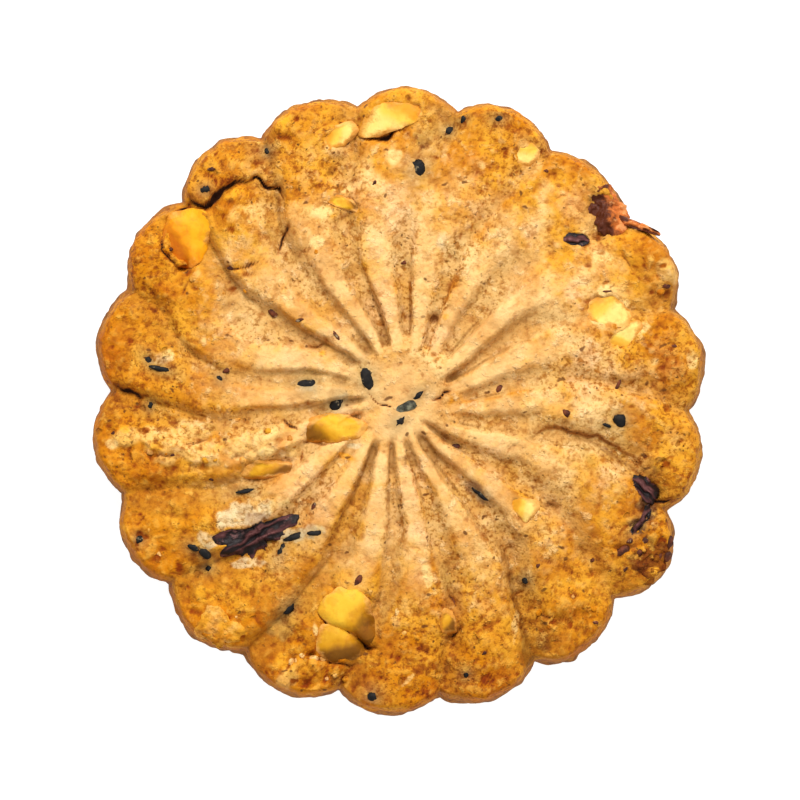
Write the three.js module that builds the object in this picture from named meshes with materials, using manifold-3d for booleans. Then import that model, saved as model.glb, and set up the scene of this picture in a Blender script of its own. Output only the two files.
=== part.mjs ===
// An oat biscuit, about 70 mm across: a scalloped disc of dough whose face is pressed with a
// swirl of flutes, with chopped nuts and raisins set into it and sesame seeds baked onto it.
// Millimetres, +Z up. It lies on its flat base, with the middle of the base at the origin.

import * as THREE from "three";
import { mergeVertices } from "three/addons/utils/BufferGeometryUtils.js";
import Module from "manifold-3d";

// Driving dimensions of the dough
const LENGTH = 70.8; // along Y, from lobe tip to lobe tip
const WIDTH = 69.4; // along X
const CROWN = 8.4; // height of the petals where they are highest
const LOBES = 18; // petals round the edge
const NOTCH_DEPTH = 2.0; // how far the outline dips between two lobes
const NOTCH_ANGLE = 18; // degrees from +X to the first notch
const MIDDLE_RADIUS = 5; // plain round spot in the middle
const MIDDLE_DISH = 0.5; // how far that spot lies below the crown
const FLUTE_DEPTH = 1.4; // hollow between two ridges, near the middle
const GROOVE_DEPTH = 1.0; // groove between two petals, near the edge
const SWIRL = 9.5; // degrees that a groove bows out sideways, half way along
const SWIRL_SKEW = 0.85; // below 1, the bow is fullest nearer the middle
const SHOULDER_DROP = 1.1; // how far the petals fall towards the edge
const EDGE_ROUND = 1.3; // the face rolls over into the wall
const EDGE_FALL = 1.9; // height of that roll
const DRAFT = 0.5; // the wall leans out this far on its way down
const FOOT_ROUND = 0.9; // the wall turns under to the base
const UNEVEN = 0.18; // petals differ in height by up to this either way
const ODD_LOBES = { 1: -0.8, 5: 0.4, 15: 0.7 }; // lobes that reach less far or further, by number

// Where the forms of the face begin and end. Across a petal the share is 0 on its spine and 1 in
// the groove, and along it 0 in the middle of the biscuit and 1 at the edge.
const RIDGE_FLANK = [0.15, 0.85]; // a ridge's side, across
const GROOVE_BRINK = 0.3; // where a petal starts to fall into its groove, across
const RIDGE_TO_PETAL = [0.3, 0.9]; // ridges broaden into petals, along
const FLUTE_START = [0.9, 1.6]; // flutes set in, as multiples of the plain spot's radius
const DISH_END = 0.4; // the dished middle levels out, along
const SHOULDER_START = 0.45; // petals start to fall, along
const SCALLOP_POWER = 4; // higher, and the lobes show only nearer the edge

// Fineness of the facets
const STEPS_PER_LOBE = 8;
const FACE_RINGS = 14; // from the rim of the plain spot outwards
const EDGE_STEPS = 3;
const FOOT_FACET = 0.3; // share of the foot's rounding where its facet breaks
const PIECE_SIDES = 10; // round a nut
const PIECE_ROWS = 6; // along a nut or a raisin
const WELD = 1e-4; // points closer than this are one

// Pieces set into the dough
const CLEARANCE = 0.3; // round a piece, in its pocket

// Nuts: middle [x, y], length, width, height, turn in degrees, taper to one end, how far proud
const NUTS = [
  { at: [-23.7, 18.2], size: [6.6, 4.4, 4.0], turn: 85, taper: 0.1, proud: 0.7 },
  { at: [-0.5, 31.3], size: [7.2, 3.2, 2.8], turn: 24, taper: -0.35, proud: 0.6 },
  { at: [-6.4, 29.2], size: [4.0, 2.7, 2.4], turn: 20, taper: 0.2, proud: 0.5 },
  { at: [-5.2, -23.8], size: [7.0, 3.9, 3.6], turn: -48, taper: -0.1, proud: 0.9 },
  { at: [-6.5, -27.2], size: [5.8, 3.5, 3.4], turn: -28, taper: 0.1, proud: 0.8 },
  { at: [-7.8, -3.2], size: [7.2, 3.0, 3.0], turn: -4, taper: 0.15, proud: 1.5 },
  { at: [13.9, -12.1], size: [3.3, 2.4, 2.0], turn: -20, taper: 0.4, proud: 0.6 },
  { at: [22.8, 10.4], size: [5.6, 3.6, 3.0], turn: -25, taper: 0.1, proud: 0.7 },
  { at: [25.2, 7.2], size: [4.0, 2.4, 2.2], turn: 35, taper: 0.2, proud: 0.4 },
  { at: [14.3, 27.6], size: [3.5, 2.7, 2.2], turn: -60, taper: 0.1, proud: 0.3 },
  { at: [-6.7, 21.9], size: [4.6, 3.0, 2.6], turn: 10, taper: 0.2, proud: 0.7 },
  { at: [-14.2, -7.6], size: [6.2, 2.4, 2.4], turn: 14, taper: 0.1, proud: 1.3 },
  { at: [5.5, -24.6], size: [3.2, 1.9, 1.8], turn: 98, taper: 0.1, proud: 0.9 },
];

// Raisins, described in the same way
const RAISINS = [
  { at: [-16.2, -14.8], size: [9.0, 4.2, 3.4], turn: 24, taper: 0.1, proud: 1.1 },
  { at: [27.3, -10.2], size: [5.6, 3.2, 3.0], turn: -58, taper: 0.2, proud: 0.9 },
  { at: [19.6, 17.9], size: [3.4, 1.9, 1.8], turn: -8, taper: 0, proud: 0.9 },
];
const WRINKLES = 7; // folds round a raisin
const WRINKLE_DEPTH = 0.07; // share of its radius

// Sesame seeds: middle [x, y], length, width and turn
const SEEDS = [
  { at: [-3.5, 2.3], size: [3.0, 1.6], turn: 103 },
  { at: [0.7, -0.9], size: [2.6, 1.2], turn: 22 },
  { at: [2.4, 0.4], size: [2.2, 1.0], turn: 45 },
  { at: [-0.1, -2.4], size: [1.6, 1.2], turn: 50 },
  { at: [-6.7, -0.2], size: [2.7, 1.6], turn: 65 },
  { at: [-10.2, 1.6], size: [2.1, 1.6], turn: -10 },
  { at: [2.3, 25.7], size: [2.6, 2.0], turn: 60 },
  { at: [5.5, 30.2], size: [1.4, 1.2], turn: 30 },
  { at: [11.2, 31.3], size: [1.6, 1.1], turn: 10 },
  { at: [-21.6, 23.5], size: [1.2, 1.0], turn: 80 },
  { at: [-26.9, 4.0], size: [3.2, 1.2], turn: -35 },
  { at: [24.7, -2.2], size: [1.7, 1.4], turn: 70 },
  { at: [-13.0, -16.7], size: [2.4, 1.1], turn: 65 },
  { at: [-10.5, -15.0], size: [3.2, 1.1], turn: 12 },
  { at: [-22.2, -16.7], size: [2.4, 1.2], turn: -30 },
  { at: [-12.4, -23.1], size: [1.6, 1.2], turn: 60 },
  { at: [-2.6, -32.7], size: [1.5, 1.1], turn: 70 },
  { at: [7.3, -30.4], size: [1.2, 1.0], turn: 20 },
  { at: [14.2, -19.9], size: [1.4, 1.2], turn: 40 },
  { at: [9.1, -10.8], size: [2.1, 1.3], turn: -35 },
  { at: [11.1, 1.1], size: [2.0, 1.1], turn: 45 },
  { at: [-13.9, 9.8], size: [1.4, 1.0], turn: -40 },
];
const SEED_HEIGHT = 1.1;
const SEED_PROUD = 0.35;

// Lumps and torn flakes of dough: middle [x, y], length, width, turn, how far proud
const LUMPS = [
  { at: [-16.6, 20.2], size: [9.2, 7.6], turn: 20, proud: 0.9 },
  { at: [-19.8, -25.4], size: [6.4, 3.6], turn: 22, proud: 0.9 },
  { at: [-24.0, -4.2], size: [9.0, 3.6], turn: -12, proud: 0.6 },
  { at: [-16.4, -4.6], size: [4.8, 2.8], turn: 20, proud: 0.7 },
  { at: [-9.6, -30.2], size: [4.2, 3.4], turn: 40, proud: 0.6 },
  { at: [28.6, -16.8], size: [5.2, 4.4], turn: 70, proud: 0.4 },
  { at: [-24.6, -19.4], size: [4.6, 4.0], turn: 50, proud: 0.5 },
];
const LUMP_BRINK = 0.55; // share of a lump's radius that is flat on top

// Patches of torn crumb: middle [x, y], spread along and across, turn, number of crags
const CRUMB_PATCHES = [
  { at: [-22.0, -4.0], spread: [15, 4.4], turn: -8, crags: 10 },
  { at: [-20.4, -25.0], spread: [6.4, 4.0], turn: 24, crags: 5 },
  { at: [-9.6, -30.4], spread: [5.0, 4.0], turn: 35, crags: 4 },
  { at: [28.0, -17.0], spread: [4.4, 6.4], turn: 0, crags: 4 },
];
const CRAG_SIZE = [1.7, 1.1, 1.0];
const CRAG_UNEVEN = 0.35; // crags are smaller or larger than that by up to this share
const CRAG_PROUD = 0.35;

// The crack that lifts one lobe off its neighbour: its line, its widest gap and its depth
const CRACK_LINE = [
  [-22.6, 22.3],
  [-20.9, 21.9],
  [-19.2, 23.1],
  [-16.4, 24.9],
  [-13.3, 23.7],
  [-12.6, 22.2],
];
const CRACK_GAP = 1.0;
const CRACK_TIP = 0.12; // gap at either end, as a share of the widest
const CRACK_FLOOR = 5.6;
const CRACK_STEPS = 12;

// Worked out from the driving dimensions
const { degToRad, lerp, smoothstep } = THREE.MathUtils;
const TIP_RADIUS = LENGTH / 2;
const OVAL = WIDTH / LENGTH;
const SECTORS = LOBES * STEPS_PER_LOBE;
const MEAN_RADIUS = TIP_RADIUS - NOTCH_DEPTH / 3;
const MIDDLE_SHARE = MIDDLE_RADIUS / MEAN_RADIUS;
const FACE_RADIUS = MEAN_RADIUS - EDGE_ROUND;

const wasm = await Module();
wasm.setup();

// A closed three.js geometry as a solid that can be joined and cut.
function solidFrom(geometry) {
  const bare = geometry.clone();
  bare.deleteAttribute("normal");
  bare.deleteAttribute("uv");
  const merged = mergeVertices(bare, WELD);
  return new wasm.Manifold(
    new wasm.Mesh({
      numProp: 3,
      vertProperties: new Float32Array(merged.attributes.position.array),
      triVerts: new Uint32Array(merged.index.array),
    }),
  );
}

// The largest body of a solid, without the loose scraps that a cut leaves.
function largestBody(solid) {
  return solid.decompose().reduce((a, b) => (a.volume() > b.volume() ? a : b));
}

// The solid's surface as a three.js geometry.
function geometryFrom(solid) {
  const { vertProperties, triVerts } = solid.getMesh();
  const geometry = new THREE.BufferGeometry();
  geometry.setAttribute("position", new THREE.BufferAttribute(vertProperties, 3));
  geometry.setIndex(new THREE.BufferAttribute(triVerts, 1));
  geometry.computeVertexNormals();
  return geometry;
}

// A steady random value from -1 to 1 for each whole number, from the far digits of a sine.
function chance(number) {
  const wave = Math.sin(12.9898 * (number + 1)) * 43758.5453;
  return 2 * (wave - Math.floor(wave)) - 1;
}

// Outline radius. Phase is 0 on a petal's spine, and -1 or 1 in the notch on either side.
function outlineRadius(lobe, phase) {
  const tip = TIP_RADIUS + (ODD_LOBES[lobe] ?? 0);
  return lerp(tip, TIP_RADIUS - NOTCH_DEPTH, phase ** 2);
}

// Sideways bow of the grooves, in radians, at a share of the radius.
function bow(share) {
  return degToRad(SWIRL) * Math.sin(Math.PI * share ** SWIRL_SKEW) ** 2;
}

// Height of the pressed face: a shallow crown, less the flutes. Near the middle the flutes are
// hollows between rounded ridges, and near the edge sharp grooves between broad petals.
function pressedHeight(share, lobe, phase) {
  const across = Math.abs(phase);
  const hollow = FLUTE_DEPTH * smoothstep(across, ...RIDGE_FLANK);
  const groove = GROOVE_DEPTH * (Math.max(0, across - GROOVE_BRINK) / (1 - GROOVE_BRINK)) ** 2;
  const flute = lerp(hollow, groove, smoothstep(share, ...RIDGE_TO_PETAL));
  const start = smoothstep(share / MIDDLE_SHARE, ...FLUTE_START);
  const lift = UNEVEN * chance(lobe) * (1 - across ** 2) * start;
  const dish = MIDDLE_DISH * (1 - smoothstep(share, 0, DISH_END));
  const fall = SHOULDER_DROP * smoothstep(share, SHOULDER_START, 1);
  return CROWN + lift - dish - fall - flute * start;
}

// How far lumps and flakes raise the face at a point of the plan.
function lumpHeight(x, y) {
  const raised = LUMPS.map(({ at, size, turn, proud }) => {
    const away = new THREE.Vector2(x - at[0], y - at[1]);
    away.rotateAround(new THREE.Vector2(), -degToRad(turn));
    const share = Math.hypot((2 * away.x) / size[0], (2 * away.y) / size[1]);
    return proud * (1 - smoothstep(share, LUMP_BRINK, 1));
  });
  return Math.max(0, ...raised);
}

// A point of the plan, from its distance and turn about the middle.
function planPoint(reach, turn) {
  return [reach * Math.cos(turn) * OVAL, reach * Math.sin(turn)];
}

// Where a ring and a sector of the face meet. The sector lines follow the swirl.
function facePoint(radius, sector) {
  const lobe = Math.floor(sector / STEPS_PER_LOBE);
  const phase = 2 * (sector / STEPS_PER_LOBE - lobe) - 1;
  const share = radius / MEAN_RADIUS;
  const scallop = outlineRadius(lobe, phase) - MEAN_RADIUS;
  const reach = radius + scallop * (radius / FACE_RADIUS) ** SCALLOP_POWER;
  const turn = degToRad(NOTCH_ANGLE) + (sector / SECTORS) * 2 * Math.PI + bow(share);
  const height = pressedHeight(share, lobe, phase) + lumpHeight(...planPoint(reach, turn));
  return { reach, turn, height };
}

// Height of the face under any point of the plan.
function faceUnder([x, y]) {
  const share = Math.hypot(x / OVAL, y) / MEAN_RADIUS;
  const turn = Math.atan2(y, x / OVAL) - degToRad(NOTCH_ANGLE) - bow(share);
  const lobes = THREE.MathUtils.euclideanModulo(turn / (2 * Math.PI), 1) * LOBES;
  const lobe = Math.floor(lobes);
  return pressedHeight(share, lobe, 2 * (lobes - lobe) - 1) + lumpHeight(x, y);
}

// One loop of points round the biscuit for each row: out over the face's rings, over the edge,
// down the wall and under the foot.
function doughRows() {
  const rows = [];
  const sectors = Array.from({ length: SECTORS }, (_, sector) => sector);
  for (let ring = 0; ring < FACE_RINGS; ring++) {
    const radius = lerp(FLUTE_START[0] * MIDDLE_RADIUS, FACE_RADIUS, ring / (FACE_RINGS - 1));
    rows.push(sectors.map((sector) => facePoint(radius, sector)));
  }
  const brink = rows[rows.length - 1];
  const past = (point, out, height) => ({ ...point, reach: point.reach + out, height });
  const wall = EDGE_ROUND - DRAFT;
  for (let step = 1; step <= EDGE_STEPS; step++) {
    const roll = (Math.PI / 2) * (step / EDGE_STEPS);
    const fall = EDGE_FALL * (1 - Math.cos(roll));
    rows.push(brink.map((p) => past(p, wall * Math.sin(roll), p.height - fall)));
  }
  const facet = FOOT_FACET * FOOT_ROUND;
  rows.push(brink.map((p) => past(p, EDGE_ROUND, FOOT_ROUND)));
  rows.push(brink.map((p) => past(p, EDGE_ROUND - facet, facet)));
  rows.push(brink.map((p) => past(p, EDGE_ROUND - FOOT_ROUND, 0)));
  return rows;
}

// The dough before anything is set into it: the rows joined up, closed at both middles.
function doughBlank() {
  const rows = doughRows();
  const points = rows.flat().map(({ reach, turn, height }) => [...planPoint(reach, turn), height]);
  const top = points.push([0, 0, faceUnder([0, 0])]) - 1;
  const bottom = points.push([0, 0, 0]) - 1;
  const faces = [];
  for (let s = 0; s < SECTORS; s++) {
    const next = (s + 1) % SECTORS;
    faces.push(top, s, next);
    for (let r = 0; r + 1 < rows.length; r++) {
      const [a, b] = [r * SECTORS + s, r * SECTORS + next];
      faces.push(a, a + SECTORS, b + SECTORS, a, b + SECTORS, b);
    }
    const last = (rows.length - 1) * SECTORS;
    faces.push(last + next, last + s, bottom);
  }
  const geometry = new THREE.BufferGeometry();
  geometry.setAttribute("position", new THREE.Float32BufferAttribute(points.flat(), 3));
  geometry.setIndex(faces);
  return solidFrom(geometry);
}

// Turns a shape about Z and carries it to its place in the plan.
function place(geometry, [x, y], turn, height) {
  return geometry.rotateZ(degToRad(turn)).translate(x, y, height);
}

// A rounded piece of nut, broader at one end. Grow makes it larger all round.
function nutSolid({ at, size, turn, taper, proud }, grow = 0) {
  const [length, width, height] = size.map((value) => value / 2 + grow);
  const geometry = new THREE.SphereGeometry(1, PIECE_SIDES, PIECE_ROWS).rotateX(Math.PI / 2);
  const spot = geometry.attributes.position;
  for (let i = 0; i < spot.count; i++) {
    spot.setY(i, spot.getY(i) * (1 - taper * spot.getX(i)));
  }
  geometry.scale(length, width, height);
  return solidFrom(place(geometry, at, turn, faceUnder(at) + proud - size[2] / 2));
}

// A raisin: the same rounded form with folds running along it.
function raisinSolid({ at, size, turn, taper, proud }, grow = 0) {
  const [length, width, height] = size.map((value) => value / 2 + grow);
  const geometry = new THREE.SphereGeometry(1, 2 * WRINKLES, PIECE_ROWS).rotateZ(Math.PI / 2);
  const spot = geometry.attributes.position;
  for (let i = 0; i < spot.count; i++) {
    const [x, y, z] = [spot.getX(i), spot.getY(i), spot.getZ(i)];
    const fold = grow ? 1 : 1 + WRINKLE_DEPTH * (Math.cos(WRINKLES * Math.atan2(z, y)) - 1);
    spot.setXYZ(i, x, y * fold * (1 - taper * x), z * fold);
  }
  geometry.scale(length, width, height);
  return solidFrom(place(geometry, at, turn, faceUnder(at) + proud - size[2] / 2));
}

// A flat-sided seed, half sunk in the face.
function seedSolid({ at, size: [length, width], turn }) {
  const geometry = new THREE.IcosahedronGeometry(1, 0);
  geometry.scale(length / 2, width / 2, SEED_HEIGHT / 2);
  const height = faceUnder(at) + SEED_PROUD - SEED_HEIGHT / 2;
  return solidFrom(place(geometry, at, turn, height));
}

// Crags spread over a patch of torn crumb, each turned its own way.
function cragSolids({ at, spread, turn, crags }, patch) {
  return Array.from({ length: crags }, (_, i) => {
    const draw = 3 * (patch * crags + i); // three chances a crag
    const away = new THREE.Vector2(
      (spread[0] / 2) * ((2 * i + 1) / crags - 1),
      (spread[1] / 2) * chance(draw),
    );
    away.rotateAround(new THREE.Vector2(), degToRad(turn));
    const spot = [at[0] + away.x, at[1] + away.y];
    const geometry = new THREE.IcosahedronGeometry(0.5, 0);
    geometry.scale(...CRAG_SIZE.map((value) => value * (1 + CRAG_UNEVEN * chance(draw + 1))));
    const height = faceUnder(spot) + CRAG_PROUD - CRAG_SIZE[2] / 2;
    return solidFrom(place(geometry, spot, 180 * chance(draw + 2), height));
  });
}

// The crack, as the solid that is cut away: its line widened most in the middle.
function crackSolid() {
  const line = new THREE.CatmullRomCurve3(CRACK_LINE.map(([x, y]) => new THREE.Vector3(x, y, 0)));
  const sides = [-1, 1].map((side) =>
    Array.from({ length: CRACK_STEPS + 1 }, (_, i) => {
      const along = i / CRACK_STEPS;
      const spot = line.getPointAt(along);
      const way = line.getTangentAt(along);
      const half = (side * CRACK_GAP * (CRACK_TIP + Math.sin(Math.PI * along))) / 2;
      return new THREE.Vector2(spot.x - way.y * half, spot.y + way.x * half);
    }),
  );
  const outline = new THREE.Shape([...sides[0], ...sides[1].reverse()]);
  const depth = 2 * CROWN - CRACK_FLOOR;
  const geometry = new THREE.ExtrudeGeometry(outline, { depth, bevelEnabled: false });
  return solidFrom(geometry.translate(0, 0, CRACK_FLOOR));
}

function finish(colour, roughness) {
  return new THREE.MeshStandardMaterial({ color: colour, roughness, metalness: 0 });
}

function mesh(name, solid, material) {
  const made = new THREE.Mesh(geometryFrom(solid), material);
  made.name = name;
  return made;
}

const biscuit = new THREE.Group();
biscuit.name = "oat_biscuit";

const doughFinish = finish(0xd9984a, 0.85);
const nutFinish = finish(0xe8b23c, 0.5);
const raisinFinish = finish(0x3a2230, 0.55);

// Each piece sits in a pocket of its own form, and two that lie close are kept apart.
const pieces = [
  ...NUTS.map((nut, i) => ["nut_" + (i + 1), nut, nutSolid, nutFinish]),
  ...RAISINS.map((raisin, i) => ["raisin_" + (i + 1), raisin, raisinSolid, raisinFinish]),
];
let pockets = crackSolid();
for (const [name, data, makeSolid, material] of pieces) {
  biscuit.add(mesh(name, largestBody(makeSolid(data).subtract(pockets)), material));
  pockets = pockets.add(makeSolid(data, CLEARANCE));
}

let dough = doughBlank();
const fused = [...CRUMB_PATCHES.flatMap(cragSolids), ...SEEDS.map(seedSolid)];
for (const bit of fused) dough = dough.add(bit);
biscuit.add(mesh("dough", largestBody(dough.subtract(pockets)), doughFinish));

export default biscuit;
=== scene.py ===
# Oat biscuit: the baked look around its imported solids.
# Lengths are in millimetres until a mesh is made in metres. +Z is up.
import math

import bpy
import numpy as np
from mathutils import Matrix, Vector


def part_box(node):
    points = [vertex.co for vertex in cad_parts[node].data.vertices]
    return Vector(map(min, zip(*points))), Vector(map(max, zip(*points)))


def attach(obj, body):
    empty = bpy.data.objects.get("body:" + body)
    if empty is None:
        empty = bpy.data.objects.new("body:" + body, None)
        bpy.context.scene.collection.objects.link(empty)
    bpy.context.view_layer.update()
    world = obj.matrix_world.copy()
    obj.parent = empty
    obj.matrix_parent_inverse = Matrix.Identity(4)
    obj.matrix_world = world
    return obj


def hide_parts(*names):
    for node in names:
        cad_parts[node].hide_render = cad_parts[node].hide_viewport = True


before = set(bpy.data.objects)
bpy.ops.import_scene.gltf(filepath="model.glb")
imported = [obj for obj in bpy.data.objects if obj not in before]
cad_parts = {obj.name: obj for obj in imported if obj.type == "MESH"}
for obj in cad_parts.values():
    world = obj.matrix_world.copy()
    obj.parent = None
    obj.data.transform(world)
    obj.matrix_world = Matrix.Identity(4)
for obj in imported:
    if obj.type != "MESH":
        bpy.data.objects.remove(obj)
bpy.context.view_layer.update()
mm = 0.001
print("frame loaded:", len(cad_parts), "solids")


# S-shaped rise from 0 at low to 1 at high, level outside them.
def smoothRise(value, low, high):
    share = np.clip((value - low) / (high - low), 0, 1)
    return share * share * (3 - 2 * share)


# Straight blend from first to second as share goes from 0 to 1.
def blendOf(first, second, share):
    return first + (second - first) * share


# Value noise from -1 to 1: random numbers on a square lattice, joined by S-shaped rises.
def valueNoise(x, y, size, seed):
    table = np.random.default_rng(seed).uniform(-1, 1, (251, 241))
    column, row = np.floor(x / size).astype(int), np.floor(y / size).astype(int)
    u, v = smoothRise(x / size - column, 0, 1), smoothRise(y / size - row, 0, 1)
    corner = [[table[(column + i) % 251, (row + j) % 241] for i in (0, 1)] for j in (0, 1)]
    return blendOf(blendOf(*corner[0], u), blendOf(*corner[1], u), v)


# Crumbly noise: layers of value noise, each turned, finer and weaker than the one before.
def crumbNoise(x, y, size, layers, seed):
    total, weight = 0.0, 1.0
    for layer in range(layers):
        turn = 0.7 + 1.1 * layer
        across = x * math.cos(turn) - y * math.sin(turn)
        along = x * math.sin(turn) + y * math.cos(turn)
        total = total + weight * valueNoise(across, along, size * 0.5**layer, seed + layer)
        weight *= 0.55
    return total


# Flaky noise: crumbly noise cut into terraces, each level with a short steep edge.
def flakeNoise(x, y, size, steps, seed):
    level = steps * crumbNoise(x, y, size, 3, seed)
    floor = np.floor(level)
    return (floor + smoothRise(level - floor, 0.6, 1)) / steps


# Distance of each point from an oval's middle, as a share of the oval's own radius that way.
def ovalShare(x, y, middle, length, width, turn):
    way = math.radians(turn)
    dx, dy = x - middle[0], y - middle[1]
    along = dx * math.cos(way) + dy * math.sin(way)
    across = dy * math.cos(way) - dx * math.sin(way)
    return np.hypot(2 * along / length, 2 * across / width)


# Strongest of several oval spots (x, y, length, width, turn, amount), fading from brink to 1.
def spotField(x, y, spots, brink, fray):
    strongest = np.zeros_like(x)
    for spotX, spotY, length, width, turn, amount in spots:
        share = ovalShare(x, y, (spotX, spotY), length, width, turn) + fray
        strongest = np.maximum(strongest, amount * (1 - smoothRise(share, brink, 1)))
    return strongest


# Distance of each point from a bent line, positive on its left, and how far along it the nearest point is.
def lineField(x, y, line):
    points = np.array(line, float)
    nearest, along, left = np.full_like(x, 1e9), np.zeros_like(x), np.ones_like(x)
    pieces = len(points) - 1
    for i in range(pieces):
        dx, dy = x - points[i, 0], y - points[i, 1]
        step = points[i + 1] - points[i]
        t = np.clip((dx * step[0] + dy * step[1]) / (step @ step), 0, 1)
        away = np.hypot(dx - t * step[0], dy - t * step[1])
        closer = away < nearest
        along = np.where(closer, (i + t) / pieces, along)
        left = np.where(closer, np.sign(step[0] * dy - step[1] * dx), left)
        nearest = np.minimum(nearest, away)
    return nearest * left, along


# A mesh piece at the origin from points in millimetres and arrays of faces; it rides on the biscuit.
def makePiece(name, points, faceGroups, finish, fields=None, replaced=()):
    mesh = bpy.data.meshes.new(name)
    mesh.vertices.add(len(points))
    mesh.vertices.foreach_set("co", (np.asarray(points) * mm).astype(np.float32).ravel())
    corners = np.concatenate([np.asarray(group).ravel() for group in faceGroups])
    sides = np.concatenate([np.full(len(group), np.shape(group)[1]) for group in faceGroups])
    mesh.loops.add(len(corners))
    mesh.loops.foreach_set("vertex_index", corners.astype(np.int32))
    mesh.polygons.add(len(sides))
    mesh.polygons.foreach_set("loop_start", (np.cumsum(sides) - sides).astype(np.int32))
    mesh.polygons.foreach_set("use_smooth", np.ones(len(sides), bool))
    for field, values in (fields or {}).items():
        layer = mesh.attributes.new(field, "FLOAT", "POINT")
        layer.data.foreach_set("value", np.broadcast_to(values, len(points)).astype(np.float32))
    mesh.update(calc_edges=True)
    mesh.validate()
    mesh.materials.append(finish)
    piece = bpy.data.objects.new(name, mesh)
    bpy.context.scene.collection.objects.link(piece)
    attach(piece, "root")
    if replaced:
        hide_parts(*replaced)
    print("made", name, "with", len(sides), "faces")


# Faces of a closed shell: rows of points round an axis, then one top point and one bottom point.
def shellFaces(rows, columns):
    here = np.arange(rows * columns).reshape(rows, columns)
    beside = np.roll(here, -1, axis=1)
    walls = np.stack([here[:-1], here[1:], beside[1:], beside[:-1]], -1).reshape(-1, 4)
    top, bottom = np.full(columns, rows * columns), np.full(columns, rows * columns + 1)
    caps = np.stack([top, here[0], beside[0]], -1), np.stack([bottom, beside[-1], here[-1]], -1)
    return [walls, np.concatenate(caps)]


# sRGB steps from 0 to 255 as the linear colour that sockets take.
def paint(red, green, blue):
    steps = np.array([red, green, blue]) / 255
    linear = np.where(steps < 0.04045, steps / 12.92, ((steps + 0.055) / 1.055) ** 2.4)
    return (*linear.tolist(), 1.0)


class Wire:
    # One socket of a finish. Sums on wires add Math nodes, so a finish reads as a formula.
    def __init__(self, tree, socket=None):
        self.tree = tree
        self.socket = socket

    # Any node: its type, its settings, the values or wires of its sockets, and the output used.
    def node(self, kind, settings=None, sockets=None, output=0):
        made = self.tree.nodes.new(kind)
        for name, value in (settings or {}).items():
            setattr(made, name, value)
        for name, value in (sockets or {}).items():
            if isinstance(value, Wire):
                self.tree.links.new(value.socket, made.inputs[name])
            else:
                made.inputs[name].default_value = value
        return Wire(self.tree, made.outputs[output] if made.outputs else None)

    def math(self, operation, *values):
        return self.node("ShaderNodeMath", {"operation": operation}, dict(enumerate(values)))

    def __add__(self, other):
        return self.math("ADD", self, other)

    def __sub__(self, other):
        return self.math("SUBTRACT", self, other)

    def __rsub__(self, other):
        return self.math("SUBTRACT", other, self)

    def __mul__(self, other):
        return self.math("MULTIPLY", self, other)

    __radd__ = __add__
    __rmul__ = __mul__

    # S-shaped rise from 0 at low to 1 at high.
    def rise(self, low, high):
        limits = {"Value": self, "From Min": low, "From Max": high}
        return self.node("ShaderNodeMapRange", {"interpolation_type": "SMOOTHSTEP"}, limits)

    # Colour that goes from first to second as this wire goes from 0 to 1.
    def mix(self, first, second, way="MIX"):
        settings = {"data_type": "RGBA", "blend_type": way}
        return self.node("ShaderNodeMix", settings, {0: self, 6: first, 7: second}, 2)

    def field(self, name):
        return self.node("ShaderNodeAttribute", {"attribute_name": name}, output="Fac")

    # Places on the piece, in its own coordinates, stretched by a factor along each axis.
    def places(self, stretch=(1, 1, 1)):
        spot = self.node("ShaderNodeTexCoord", output="Object")
        return self.node("ShaderNodeMapping", None, {"Vector": spot, "Scale": stretch})

    # Cloudy noise of about that size in millimetres, from 0 to 1.
    def cloud(self, size, detail=3.0, rough=0.5, stretch=(1, 1, 1)):
        sockets = {"Vector": self.places(stretch), "Scale": 0.6 / (size * mm), "Detail": detail}
        return self.node("ShaderNodeTexNoise", None, {**sockets, "Roughness": rough})

    # A field's patches, ragged at their edges by cloudy noise of that size.
    def patch(self, name, size):
        return (self.field(name) + 1.3 * (self.cloud(size, 4.0, 0.6) - 0.5)).rise(0.25, 0.95)

    # Places pushed about by noise as far as a spacing in millimetres.
    def warped(self, spacing, stretch=(1, 1, 1)):
        sockets = {"Vector": self.places(), "Scale": 1.2 / (spacing * mm), "Detail": 2.0}
        push = self.node("ShaderNodeTexNoise", None, sockets, "Color")
        warp = {0: push, 1: (spacing * mm,) * 3, 2: self.places(stretch)}
        return self.node("ShaderNodeVectorMath", {"operation": "MULTIPLY_ADD"}, warp)

    # Scattered flecks: cells of that spacing, a share of them filled out to a radius in millimetres.
    # The cells are warped by noise, so no fleck is round.
    def flecks(self, spacing, radius, share, stretch=(1, 1, 1)):
        sockets = {"Vector": self.warped(spacing, stretch), "Scale": 1 / (spacing * mm)}
        near = self.node("ShaderNodeTexVoronoi", None, sockets, "Distance")
        lot = self.node("ShaderNodeTexVoronoi", None, sockets, "Color")
        draw = self.node("ShaderNodeSeparateColor", None, {"Color": lot}, "Red")
        filled = 1 - near.rise(0.5 * radius / spacing, radius / spacing)
        return filled * draw.rise(1 - share, 1.02 - share)


# A new finish: an empty material whose wires lead to one Principled shader.
def newFinish(name):
    finish = bpy.data.materials.new(name)
    finish.use_nodes = True
    finish.node_tree.nodes.clear()
    return finish, Wire(finish.node_tree)


# Ends a finish: wires or values for the Principled shader, and the height that its bump follows.
def endFinish(wire, sockets, height=None):
    if height is not None:
        bump = {"Height": height, "Distance": mm, "Strength": 1.0}
        sockets = {**sockets, "Normal": wire.node("ShaderNodeBump", None, bump)}
    shader = wire.node("ShaderNodeBsdfPrincipled", None, sockets, "BSDF")
    wire.node("ShaderNodeOutputMaterial", None, {"Surface": shader})


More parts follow.
